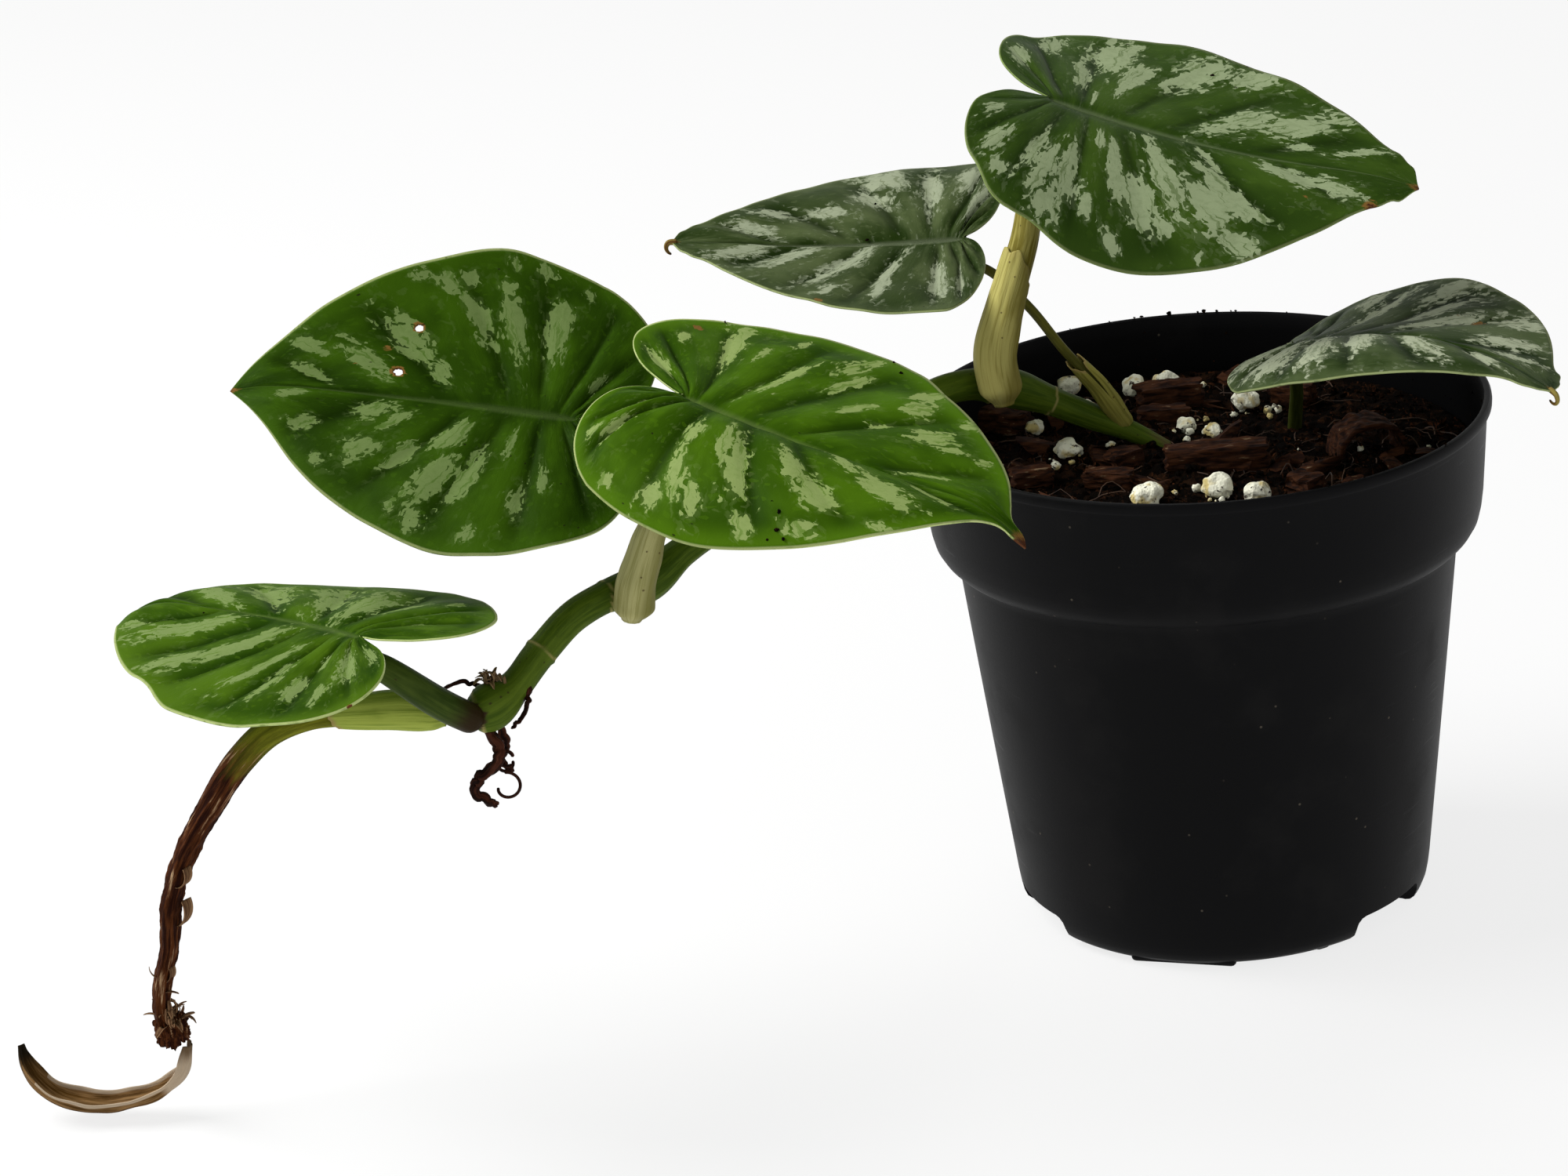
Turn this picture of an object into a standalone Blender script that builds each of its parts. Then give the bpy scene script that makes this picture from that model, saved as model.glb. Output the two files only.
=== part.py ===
# A heart-leaved philodendron with silver markings in a 13 cm grower's pot.
# Metres, +Z up. The origin is the centre of the pot's base, on the surface it stands on.
# The vine leaves the mix near the middle, crosses the rim towards -X and ends in a
# withered shoot that hangs down to that surface.
import math
import random

import bmesh
import bpy
import numpy as np
from mathutils import Matrix, Vector

# ---- driving dimensions (metres) ----
MM = 0.001
RIM_DIAMETER = 0.129
POT_HEIGHT = 0.1178
LEAF_SCALE = 1.0
LEAF_THICKNESS = 0.0006
STEM_SCALE = 1.0
SOIL_TOP = 0.1040
FOOT_HEIGHT = 0.0024
FIT_GAP = 0.0004

# ---- worked out from them ----
SPREAD = RIM_DIAMETER / 0.129
RISE = POT_HEIGHT / 0.1178
LIFT = 0.0014  # the design heights below start this far above the surface
SOIL_LEVEL = (SOIL_TOP + LIFT) * RISE
SINK = (SOIL_TOP + LIFT) / 0.1054
POT_STEPS = 40
NOTCH_TOP = 0.0066 * RISE

# ---- colours: base colour, roughness ----
LEAF_DEEP = ((0.045, 0.105, 0.030), 0.42)
LEAF_BRIGHT = ((0.090, 0.210, 0.025), 0.40)
PETIOLE_GREEN = ((0.140, 0.200, 0.045), 0.45)
SHEATH_CREAM = ((0.520, 0.500, 0.220), 0.55)
VINE_GREEN = ((0.120, 0.180, 0.040), 0.50)
DRIED_BROWN = ((0.160, 0.075, 0.035), 0.75)
DRIED_TAN = ((0.420, 0.300, 0.180), 0.80)
ROOT_DARK = ((0.060, 0.025, 0.020), 0.80)
ROOT_PALE = ((0.450, 0.360, 0.240), 0.80)
POT_BLACK = ((0.022, 0.022, 0.025), 0.48)
SOIL_BROWN = ((0.018, 0.012, 0.009), 0.95)
BARK_RED = ((0.130, 0.045, 0.022), 0.85)
PERLITE_WHITE = ((0.760, 0.730, 0.620), 0.90)

# Half outline of a heart-shaped blade, from the notch round the lobe to the tip:
# along the midrib as a part of its length, and across as a part of the half width.
BLADE_OUTLINE = (
    (0.00, 0.00),
    (-0.12, 0.06),
    (-0.25, 0.24),
    (-0.28, 0.50),
    (-0.18, 0.80),
    (0.03, 0.98),
    (0.27, 1.00),
    (0.52, 0.82),
    (0.76, 0.49),
    (0.90, 0.20),
    (1.00, 0.00),
)
BLADE_ROWS = 15
BLADE_COLUMNS = 3

# Each blade: where its petiole joins it (mm), its heading, pitch and roll (degrees), midrib length
# and half widths (mm), how the midrib bends, swings and twists, how each half folds and curls,
# how the lobes droop and how long they are, how full the middle is, and how the tip drops.
BLADES = {
    "top": dict(
        at=(-28.4, 12.0, 186.5), heading=-10.5, pitch=-23.0, roll=2.5, length=84.0, left=38.0, right=44.5,
        bend=-19.5, swing=-9.5, twist=24.5, fold=(3.5, -2.5), curl=(1.5, -32.0), droop=-5.0,
        lobes=(0.57, 0.66), belly=0.01, tip=18.0,
    ),
    "upper_left": dict(
        at=(-48.5, 30.0, 150.3), heading=169.5, pitch=-3.5, roll=-14.5, length=66.5, left=38.5, right=38.0,
        bend=-16.0, swing=8.0, twist=5.5, fold=(0.5, 7.0), curl=(13.5, -23.0), droop=-1.0,
        lobes=(0.35, 0.40), belly=-0.01, tip=5.5,
    ),
    "right": dict(
        at=(20.6, -10.0, 131.9), heading=-35.0, pitch=19.5, roll=-14.5, length=69.0, left=41.5, right=29.0,
        bend=41.0, swing=-7.0, twist=-7.5, fold=(5.0, -7.5), curl=(19.0, -24.0), droop=-5.0,
        lobes=(0.40, 0.40), belly=0.01, tip=4.5,
    ),
    "far_left": dict(
        at=(-135.9, -52.0, 143.4), heading=174.5, pitch=12.0, roll=-12.0, length=75.0, left=39.0, right=40.5,
        bend=6.5, swing=-3.0, twist=-20.0, fold=(-11.0, 10.5), curl=(-3.5, 11.0), droop=-3.5,
        lobes=(0.65, 0.69), belly=0.06, tip=21.0,
    ),
    "middle": dict(
        at=(-113.3, -72.0, 153.7), heading=-38.5, pitch=-12.5, roll=-10.5, length=84.5, left=43.5, right=35.5,
        bend=-2.0, swing=10.5, twist=0.0, fold=(11.0, 6.5), curl=(-2.0, -75.5), droop=-12.5,
        lobes=(1.05, 0.41), belly=0.07, tip=43.0,
    ),
    "low_left": dict(
        at=(-183.0, -95.0, 115.5), heading=124.0, pitch=-7.0, roll=8.5, length=91.0, left=38.0, right=31.0,
        bend=3.5, swing=15.5, twist=5.0, fold=(-25.0, 12.0), curl=(7.0, -13.0), droop=5.0,
        lobes=(1.11, 0.80), belly=-0.04, tip=56.5,
    ),
}

# Routes are (x, y, z, radius) in mm, each from its lower or older end.
VINE_ROUTE = (
    (4.0, 6.5, 94.0, 2.0),
    (-2.0, 8.5, 99.5, 2.0),
    (-8.4, 9.8, 103.6, 2.0),
    (-15.0, 11.5, 107.2, 2.4),
    (-23.5, 13.5, 110.8, 3.0),
    (-32.1, 13.5, 115.2, 3.3),
    (-41.0, 11.5, 119.8, 4.5),
    (-49.7, 7.5, 122.9, 3.6),
    (-56.5, 3.0, 123.6, 3.4),
    (-66.0, -4.5, 121.8, 3.4),
    (-80.0, -17.5, 118.6, 3.4),
    (-96.0, -33.0, 116.4, 4.0),
    (-107.0, -43.0, 114.2, 3.4),
    (-116.4, -50.6, 111.0, 3.3),
    (-125.9, -58.0, 107.0, 4.5),
    (-133.0, -61.5, 106.4, 3.5),
    (-140.0, -64.6, 104.0, 3.4),
    (-147.8, -70.0, 98.6, 3.4),
    (-154.2, -75.0, 92.9, 3.6),
    (-160.1, -79.0, 90.3, 5.2),
    (-164.6, -79.4, 89.6, 4.2),
)
SHOOT_ROUTE = (
    (-166.2, -77.8, 89.4, 2.5),
    (-176.0, -77.4, 90.8, 2.5),
    (-188.0, -77.6, 91.3, 2.4),
    (-197.0, -78.2, 91.6, 2.4),
    (-205.0, -79.0, 89.8, 2.6),
    (-212.6, -78.4, 83.4, 2.7),
    (-219.4, -77.8, 74.6, 2.6),
    (-227.3, -77.0, 62.4, 2.2),
    (-231.6, -76.0, 51.4, 2.2),
    (-233.6, -75.0, 40.0, 2.0),
    (-236.4, -75.0, 30.6, 2.0),
    (-237.0, -75.0, 26.4, 1.9),
)
PETIOLE_ROUTES = {
    "top": ((-43.2, 1.0, 119.6, 3.7), (-44.4, 2.4, 131.0, 3.5), (-40.9, 6.0, 141.9, 3.2),
            (-36.1, 10.4, 153.6, 2.9), (-31.4, 12.6, 170.0, 2.2)),
    "upper_left": ((-15.0, 11.8, 108.2, 1.3), (-21.6, 12.6, 118.4, 1.2), (-27.8, 16.0, 125.5, 1.1),
                   (-35.4, 24.0, 134.8, 1.1), (-43.9, 29.6, 142.4, 1.1)),
    "right": ((22.0, 14.0, 94.0, 1.6), (22.4, 13.0, 103.0, 1.6), (22.6, 7.0, 114.0, 1.5),
              (21.8, -3.0, 124.0, 1.4)),
    "far_left": ((-96.8, -33.4, 118.0, 2.2), (-102.0, -34.6, 124.0, 2.0), (-114.0, -38.0, 130.0, 1.9),
                 (-126.0, -44.0, 136.5, 1.8)),
    "middle": ((-128.2, -66.6, 104.2, 3.2), (-126.6, -66.8, 111.0, 3.0), (-123.4, -67.4, 120.0, 2.6),
               (-117.2, -69.4, 134.0, 2.1)),
    "low_left": ((-161.6, -82.0, 88.6, 3.2), (-168.6, -87.4, 95.6, 3.2), (-178.5, -91.0, 105.4, 2.9)),
}
SHEATH_ROUTES = {
    "top": ((-43.4, 1.2, 121.6, 5.2), (-44.3, 2.6, 131.7, 4.8), (-41.2, 5.7, 140.6, 4.2)),
    "upper_left": ((-15.3, 11.9, 108.8, 2.2), (-21.3, 12.7, 117.9, 2.2), (-27.0, 15.5, 124.6, 1.8)),
    "middle": ((-128.1, -66.5, 105.4, 4.3), (-126.5, -66.9, 111.7, 4.3), (-123.9, -67.2, 118.6, 3.6)),
    "shoot": ((-170.6, -77.6, 90.1, 3.8), (-178.0, -77.4, 90.9, 3.9), (-191.0, -77.7, 91.4, 3.3)),
}

DRIED_ROOT_ROUTES = {
    "long": ((-160.6, -79.6, 87.0, 1.0), (-158.2, -81.4, 81.8, 0.9), (-159.3, -82.0, 78.8, 0.9),
             (-162.6, -82.0, 76.2, 0.9), (-164.2, -82.0, 73.2, 0.9), (-161.8, -82.0, 70.6, 0.8),
             (-159.4, -82.4, 69.8, 0.7)),
    "curl": ((-158.6, -77.0, 87.0, 0.8), (-156.8, -76.6, 80.8, 0.7), (-158.0, -76.8, 77.6, 0.7),
             (-156.4, -77.0, 75.0, 0.6)),
    "thread": ((-159.4, -75.8, 91.6, 0.7), (-162.8, -72.6, 93.8, 0.6), (-166.8, -72.4, 94.0, 0.6),
               (-170.0, -72.8, 92.4, 0.5)),
    "hook": ((-151.4, -74.0, 95.0, 0.7), (-151.2, -77.8, 91.0, 0.6), (-152.8, -79.6, 87.8, 0.6),
             (-155.0, -81.8, 86.8, 0.5)),
}
# The first point of each is inside the buried end of the vine, where its channel starts.
ROOT_ROUTES = {
    "front": ((4.0, 6.5, 95.5, 1.1), (9.0, 1.0, 86.0, 1.1), (15.0, -12.0, 70.0, 1.0),
              (20.0, -22.0, 48.0, 0.9), (17.0, -27.0, 24.0, 0.7)),
    "left": ((4.0, 6.5, 95.5, 1.1), (-1.0, 12.0, 86.0, 1.1), (-14.0, 20.0, 68.0, 1.0),
             (-24.0, 18.0, 46.0, 0.9), (-26.0, 8.0, 22.0, 0.7)),
    "back": ((4.0, 6.5, 95.5, 1.1), (9.5, 12.0, 86.0, 1.1), (16.0, 22.0, 66.0, 1.0), (23.0, 24.0, 44.0, 0.9),
             (19.0, 26.0, 22.0, 0.7)),
    "near": ((4.0, 6.5, 95.5, 1.1), (-1.0, 1.0, 85.0, 1.1), (-8.0, -12.0, 64.0, 1.0),
             (-14.0, -22.0, 42.0, 0.9), (-10.0, -26.0, 18.0, 0.7)),
}
ROOT_SETBACK = 0.0042  # from a channel's start to the root in it
# Radius and height in millimetres up the inside of the pot, a gap away from it.
MIX_SIDE = (
    (41.3, 4.6), (43.1, 5.2), (44.4, 6.7), (45.4, 9.4), (54.6, 88.1), (57.8, 90.0), (59.6, 92.4),
    (60.5, 96.4), (61.0, 105.4),
)
NECK_LENGTH = 0.0045  # the last stretch of a petiole, under its blade
NECK_SWELL = 1.25
PETIOLE_END = 0.64  # of the last radius on its route

# Grains of perlite: x, y and size in mm. Chips of bark: x, y, length, width, height (mm), turn (degrees).
PERLITE = (
    (-25.5, 49.0, 6.5), (-31.5, 43.0, 5.0), (-10.6, 45.5, 6.0), (-3.4, 44.5, 6.5), (-23.0, 34.0, 5.0),
    (-1.6, 16.4, 4.6), (3.6, 9.6, 5.4), (13.6, 29.0, 6.6), (-35.5, 24.0, 4.6), (-29.5, 5.0, 6.4),
    (-15.5, -31.0, 9.0), (0.6, -27.0, 6.6), (8.8, -32.0, 6.4),
)
BARK = (
    (-3.5, 34.5, 15.0, 6.0, 4.5, 8.0), (-6.0, 24.5, 11.0, 5.0, 3.0, -6.0),
    (2.5, -8.5, 22.0, 7.0, 4.5, -4.0), (-17.5, -2.5, 8.0, 4.5, 3.2, 30.0),
    (-22.0, -14.0, 11.0, 5.0, 3.0, -20.0), (-42.0, 28.0, 10.0, 6.0, 4.0, 60.0),
    (-39.0, -9.0, 9.0, 5.0, 3.2, 15.0), (24.5, 30.0, 10.0, 6.0, 4.0, -35.0),
    (19.5, -30.0, 9.0, 5.5, 3.5, 40.0),
)
BARK_CURL_AT = (36.0, -8.0)


# ---- helpers ----
def emptyScene():
    for each in list(bpy.data.objects):
        bpy.data.objects.remove(each, do_unlink=True)


def finish(name, look):
    colour, roughness = look
    made = bpy.data.materials.new(name + "_finish")
    made.use_nodes = True
    shader = made.node_tree.nodes["Principled BSDF"]
    shader.inputs["Base Color"].default_value = (*colour, 1.0)
    shader.inputs["Roughness"].default_value = roughness
    shader.inputs["Metallic"].default_value = 0.0
    return made


def place(name, data, look=None):
    made = bpy.data.objects.new(name, data)
    bpy.context.scene.collection.objects.link(made)
    if look:
        data.materials.append(finish(name, look))
    return made


def asMesh(name, shape):
    mesh = bpy.data.meshes.new(name)
    bmesh.ops.recalc_face_normals(shape, faces=shape.faces)
    shape.to_mesh(mesh)
    shape.free()
    mesh.shade_smooth()
    mesh.set_sharp_from_angle(angle=math.radians(40))
    return mesh


def inPlace(point):
    """A point of the design, in mm, at this size of pot."""
    return Vector((point[0] * SPREAD, point[1] * SPREAD, (point[2] + LIFT / MM) * RISE)) * MM


def smoothed(points, steps):
    """A smooth curve through the points that doesn't overshoot, with so many steps between each two."""
    points = np.asarray(points, float)
    gaps = np.linalg.norm(np.diff(points[:, :3], axis=0), axis=1)[:, None]
    slopes = np.diff(points, axis=0) / gaps
    inner = (slopes[:-1] * gaps[1:] + slopes[1:] * gaps[:-1]) / (gaps[:-1] + gaps[1:])
    tangents = np.vstack([slopes[:1], inner, slopes[-1:]])
    t = np.arange(steps)[:, None] / steps
    pieces = []
    for index, gap in enumerate(gaps):
        start, end = points[index], points[index + 1]
        leaving, arriving = tangents[index] * gap, tangents[index + 1] * gap
        pieces.append((2 * t ** 3 - 3 * t ** 2 + 1) * start + (t ** 3 - 2 * t ** 2 + t) * leaving
                      + (3 * t ** 2 - 2 * t ** 3) * end + (t ** 3 - t ** 2) * arriving)
    return np.vstack([*pieces, points[-1:]])


def routed(route):
    """The route's points in place, with radii in metres in the fourth column."""
    return np.array([(*inPlace(point[:3]), point[3] * MM * STEM_SCALE) for point in route])


def stalkCurve(name, route, steps, resolution=2):
    curve = bpy.data.curves.new(name, "CURVE")
    curve.dimensions = "3D"
    curve.bevel_depth = 1.0
    curve.bevel_resolution = resolution
    curve.use_fill_caps = True
    smooth = smoothed(route, steps)
    spline = curve.splines.new("POLY")
    spline.points.add(len(smooth) - 1)
    for point, (x, y, z, radius) in zip(spline.points, smooth):
        point.co = (x, y, z, 1.0)
        point.radius = radius
    spline.use_smooth = True
    return curve


def stalk(name, route, look, steps=2, resolution=2):
    return place(name, stalkCurve(name, route, steps, resolution), look)


def offshoot(name, route, look, steps=2, resolution=2):
    """A stalk that starts inside the vine and is cut back to sit on its skin."""
    made = meshFrom(name, stalkCurve(name, route, steps, resolution), look)
    cut(made, bpy.data.objects["vine_clearance"])
    return made


def meshFrom(name, curve, look=None):
    """A mesh object with the curve's shape, which a Boolean can work on."""
    guide = place(name + "_guide", curve)
    mesh = bpy.data.meshes.new_from_object(guide)
    bpy.data.objects.remove(guide, do_unlink=True)
    shape = bmesh.new()
    shape.from_mesh(mesh)
    bmesh.ops.remove_doubles(shape, verts=shape.verts, dist=1e-6)
    bpy.data.meshes.remove(mesh)
    return place(name, asMesh(name, shape), look)


def asCutter(made):
    made.hide_render = True
    made.display_type = "WIRE"
    return made


def cut(target, cutter):
    boolean = target.modifiers.new(cutter.name, "BOOLEAN")
    boolean.operation = "DIFFERENCE"
    boolean.object = cutter
    return boolean


def turned(name, outline, look):
    """A body of revolution from (radius, height) points in metres, from axis to axis."""
    shape = bmesh.new()
    verts = [shape.verts.new((radius, 0.0, height)) for radius, height in outline]
    edges = [shape.edges.new(pair) for pair in zip(verts, verts[1:])]
    bmesh.ops.spin(shape, geom=verts + edges, cent=(0, 0, 0), axis=(0, 0, 1), angle=2 * math.pi,
                   steps=POT_STEPS, use_duplicate=False)
    bmesh.ops.remove_doubles(shape, verts=shape.verts, dist=2e-5)
    return place(name, asMesh(name, shape), look)


def sized(outline):
    return [(radius * SPREAD * MM, height * RISE * MM) for radius, height in outline]


# ---- pot ----
def potOutline():
    """Base pad, underside, wall, band, lip, and back down the inside to the floor."""
    foot = FOOT_HEIGHT / MM
    return sized((
        (0, 0), (30, 0), (31, foot), (43.8, foot), (45.4, foot + 0.6), (46.6, foot + 2.6), (47.4, 9.2),
        (56.2, 86.6), (57.4, 86.8), (59.8, 88.4), (61.4, 91.4), (62.1, 95.8), (63.5, 115.0), (64.5, 115.6),
        (64.5, 117.4), (64.1, 117.8), (63.0, 117.8), (62.4, 116.8), (60.9, 96.2), (60.0, 92.2), (58.2, 89.6),
        (55.0, 87.8), (45.8, 9.2), (44.8, 6.4), (43.4, 4.8), (41.6, 4.2), (0, 4.2),
    ))


def block(name, size, at, angle):
    """A box turned about the pot's axis: its size is radial, across and high."""
    shape = bmesh.new()
    bmesh.ops.create_cube(shape, size=1.0)
    bmesh.ops.scale(shape, vec=size, verts=shape.verts)
    bmesh.ops.translate(shape, vec=(at[0], 0, at[1]), verts=shape.verts)
    top = [edge for edge in shape.edges if abs(edge.verts[0].co.y - edge.verts[1].co.y) < 1e-6
           and min(vert.co.z for vert in edge.verts) > at[1]]
    bmesh.ops.bevel(shape, geom=top, offset=size[2] * 0.2, segments=2, affect="EDGES", profile=0.5)
    made = asCutter(place(name, asMesh(name, shape)))
    made.rotation_euler.z = math.radians(angle)
    return made


def drainageNotch(angle):
    """Opens the pot's lower corner for 24 mm of its edge."""
    return block(f"notch_{angle}", (0.014, 0.024, 2 * NOTCH_TOP), (0.0455 * SPREAD, 0), angle)


def foot(angle, width):
    """A low foot under the pot's edge."""
    height = FOOT_HEIGHT * RISE + 0.001
    return block(f"foot_{angle}", (0.003, width, height), (0.0424 * SPREAD, height / 2), angle)


def pot():
    made = turned("pot", potOutline(), POT_BLACK)
    for angle in (-42, -162, 78):
        cut(made, drainageNotch(angle))
    for angle in (-109, 11, 131):
        cut(made, foot(angle, 0.024)).operation = "UNION"
    for angle in (-66, -20, 54, 174):
        cut(made, foot(angle, 0.004)).operation = "UNION"


# ---- potting mix and what is on it ----
def sunk(route, count):
    """The route with its first points moved up or down with the top of the mix."""
    return (*((x, y, z * SINK, radius) for x, y, z, radius in route[:count]), *route[count:])


def vineRoute():
    return sunk(VINE_ROUTE, 3)


def petioleRoute(name):
    return sunk(PETIOLE_ROUTES[name], 2 if name == "right" else 0)


def pottingMix():
    level = (SOIL_TOP + LIFT) / MM
    radii, heights = zip(*MIX_SIDE)
    below = [point for point in MIX_SIDE if point[1] < level]
    edge = float(np.interp(level, heights, radii))
    made = turned("potting_mix", sized(((0, heights[0]), *below, (edge, level), (0, level))), SOIL_BROWN)
    for name, route in (("vine", vineRoute()[:5]), ("right", petioleRoute("right")[:3])):
        channel = lengthened(clearOf(routed(route)), 0)
        cut(made, asCutter(meshFrom(f"{name}_channel", stalkCurve(name, channel, 2))))
    for name, route in ROOT_ROUTES.items():
        channel = lengthened(clearOf(routed(sunk(route, len(route)))), -1)
        cut(made, asCutter(meshFrom(f"{name}_channel", stalkCurve(name, channel, 2, 1))))


def clearOf(route):
    """The route with its radii widened to leave a gap round what lies in it."""
    route = route.copy()
    route[:, 3] += FIT_GAP * 1.5
    return route


def lengthened(route, end):
    """The route with one end point moved outwards by two gaps."""
    route = route.copy()
    inner = 1 if end == 0 else -2
    away = route[end, :3] - route[inner, :3]
    route[end, :3] += away / np.linalg.norm(away) * FIT_GAP * 2
    return route


def roots():
    for name, route in ROOT_ROUTES.items():
        line = smoothed(routed(sunk(route, len(route))), 2)
        along = np.linalg.norm(line[:, :3] - line[0, :3], axis=1)
        kept = line[along > ROOT_SETBACK]
        stalk("root_" + name, kept, ROOT_PALE, steps=1, resolution=1)


def perliteGrain(number, x, y, size):
    shape = bmesh.new()
    bmesh.ops.create_icosphere(shape, subdivisions=2, radius=size * MM / 2)
    chance = random.Random(number)
    for vert in shape.verts:
        vert.co *= 0.84 + 0.26 * chance.random()
    bmesh.ops.scale(shape, vec=(1.0, 0.85, 0.78), verts=shape.verts)
    settle(shape, x, y, number * 47)
    place(f"perlite_{number:02d}", asMesh("perlite", shape), PERLITE_WHITE)


def settle(shape, x, y, turn):
    """Turns a loose piece about its height and lets it down on the mix."""
    around = Matrix.Rotation(math.radians(turn), 3, "Z")
    bmesh.ops.rotate(shape, cent=(0, 0, 0), matrix=around, verts=shape.verts)
    low = min(vert.co.z for vert in shape.verts)
    spot = (x * SPREAD * MM, y * SPREAD * MM, SOIL_LEVEL + FIT_GAP - low)
    bmesh.ops.translate(shape, vec=spot, verts=shape.verts)


def barkChip(number, x, y, length, width, height, turn):
    shape = bmesh.new()
    bmesh.ops.create_cube(shape, size=1.0)
    bmesh.ops.scale(shape, vec=(length * MM, width * MM, height * MM), verts=shape.verts)
    lengthwise = [edge for edge in shape.edges if edge.verts[0].co.x * edge.verts[1].co.x < 0]
    bmesh.ops.subdivide_edges(shape, edges=lengthwise, cuts=3, use_grid_fill=True)
    corners = [edge for edge in shape.edges if edge.calc_face_angle(0) > 1]
    bmesh.ops.bevel(shape, geom=corners, offset=height * MM * 0.2, segments=1, affect="EDGES", profile=0.5)
    chance = random.Random(number + 100)
    phase = chance.random() * 6
    for vert in shape.verts:
        along = vert.co.x / (length * MM)
        vert.co.z += height * MM * 0.12 * math.sin(along * 7 + phase)
        vert.co.y *= 1.0 - 0.35 * abs(along) + 0.12 * math.sin(along * 11 + phase)
    settle(shape, x, y, turn)
    place(f"bark_{number:02d}", asMesh("bark", shape), BARK_RED)


def barkCurl():
    """A curled strip of bark that stands on its two ends like a low arch."""
    shape = bmesh.new()
    inside, halfWidth, outside = 0.0074, 0.0045, 0.0090
    stretch, skew, turn = 1.15, 0.0015, 12
    verts = [shape.verts.new(co) for co in (
        (inside, -halfWidth, 0), (outside, -halfWidth, 0), (outside, halfWidth, 0), (inside, halfWidth, 0))]
    face = shape.faces.new(verts)
    bmesh.ops.spin(shape, geom=[face], cent=(0, 0, 0), axis=(0, -1, 0), angle=math.pi, steps=10,
                   use_duplicate=False)
    for vert in shape.verts:
        vert.co.z *= stretch
        vert.co.y += skew * math.sin(vert.co.x / inside * 1.5)
    settle(shape, *BARK_CURL_AT, turn)
    place("bark_curl", asMesh("bark_curl", shape), BARK_RED)


# ---- leaves ----
def bladeStations():
    """The half outline at even steps, and where the vein to each point leaves the midrib."""
    fine = smoothed(BLADE_OUTLINE, 12)
    places = np.linspace(0, 1, BLADE_ROWS + 1)
    index = np.linspace(0, 1, len(fine))
    rim = np.column_stack([np.interp(places, index, fine[:, axis]) for axis in (0, 1)])
    foot = 0.04 * places + 0.96 * places ** 4
    return rim, foot


def leafFrame(leaf):
    """The blade's own axes where it joins its petiole: along, to the left, and out of its face."""
    heading, pitch, roll = (math.radians(leaf[key]) for key in ("heading", "pitch", "roll"))
    flat = math.cos(pitch)
    along = Vector((math.cos(heading) * flat, math.sin(heading) * flat, math.sin(pitch)))
    level = Vector((-math.sin(heading), math.cos(heading), 0.0))
    upright = along.cross(level)
    left = level * math.cos(roll) + upright * math.sin(roll)
    return along, left, along.cross(left)


def midribBend(leaf, part):
    tip = math.radians(leaf["tip"]) * max(0.0, part - 0.7) ** 2 / 0.09
    return math.radians(leaf["bend"]) * part + tip if part > 0 else math.radians(leaf["droop"]) * part


def bladePoint(leaf, side, part, across):
    """A point of the bent blade: part along the midrib and across, both as parts of its size."""
    index = 0 if side > 0 else 1
    half = leaf["left" if side > 0 else "right"] * MM * LEAF_SCALE
    length = leaf["length"] * MM * LEAF_SCALE
    middle = min(max(part, 0.0), 1.0)
    across = across * (1 + leaf["belly"] * 4 * middle * (1 - middle))
    if part < 0:
        part = part * leaf["lobes"][index]
    steps = [(step + 0.5) / 12 for step in range(12)]
    fold, curl = math.radians(leaf["fold"][index]), math.radians(leaf["curl"][index])
    swing = math.radians(leaf["swing"])
    slopes = [fold + curl * across * step for step in steps]
    out = sum(math.cos(slope) for slope in slopes) / 12 * across * half * side
    up = sum(math.sin(slope) for slope in slopes) / 12 * across * half
    spine = Vector((0, 0, 0))
    for step in steps:
        bend, turn = midribBend(leaf, part * step), swing * part * step
        spine += Vector((math.cos(bend) * math.cos(turn), math.cos(bend) * math.sin(turn), -math.sin(bend)))
    spine *= part * length / 12
    bend, turn = midribBend(leaf, part), swing * part
    tangent = Vector((math.cos(bend) * math.cos(turn), math.cos(bend) * math.sin(turn), -math.sin(bend)))
    beside = Vector((-math.sin(turn), math.cos(turn), 0))
    normal = tangent.cross(beside)
    twist = math.radians(leaf["twist"]) * max(part, 0.0)
    leaning = beside * math.cos(twist) + normal * math.sin(twist)
    rising = normal * math.cos(twist) - beside * math.sin(twist)
    return spine + leaning * out + rising * up


def blade(name, leaf):
    rim, foot = bladeStations()
    along, left, face = leafFrame(leaf)
    root = inPlace(leaf["at"])
    shape = bmesh.new()

    def vertex(side, part, across):
        local = bladePoint(leaf, side, part, across)
        return shape.verts.new(root + along * local.x + left * local.y + face * local.z)

    middle = [vertex(1, part, 0.0) for part in foot]
    for side in (1, -1):
        rows = [[middle[0]] * (BLADE_COLUMNS + 1)]
        for row in range(1, BLADE_ROWS):
            line = [middle[row]]
            for column in range(1, BLADE_COLUMNS + 1):
                share = column / BLADE_COLUMNS
                part = foot[row] + (rim[row, 0] - foot[row]) * share
                line.append(vertex(side, part, rim[row, 1] * share))
            rows.append(line)
        rows.append([middle[-1]] * (BLADE_COLUMNS + 1))
        for near, far in zip(rows, rows[1:]):
            for column in range(BLADE_COLUMNS):
                corners = [near[column], near[column + 1], far[column + 1], far[column]]
                corners = list(dict.fromkeys(corners))
                if side > 0:
                    corners.reverse()
                if len(corners) > 2:
                    shape.faces.new(corners)
    made = place("leaf_" + name, asMesh("leaf_" + name, shape),
                 LEAF_BRIGHT if name in ("far_left", "middle", "low_left") else LEAF_DEEP)
    solid = made.modifiers.new("thickness", "SOLIDIFY")
    solid.thickness = LEAF_THICKNESS
    solid.offset = 0.0
    solid.use_even_offset = False


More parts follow.
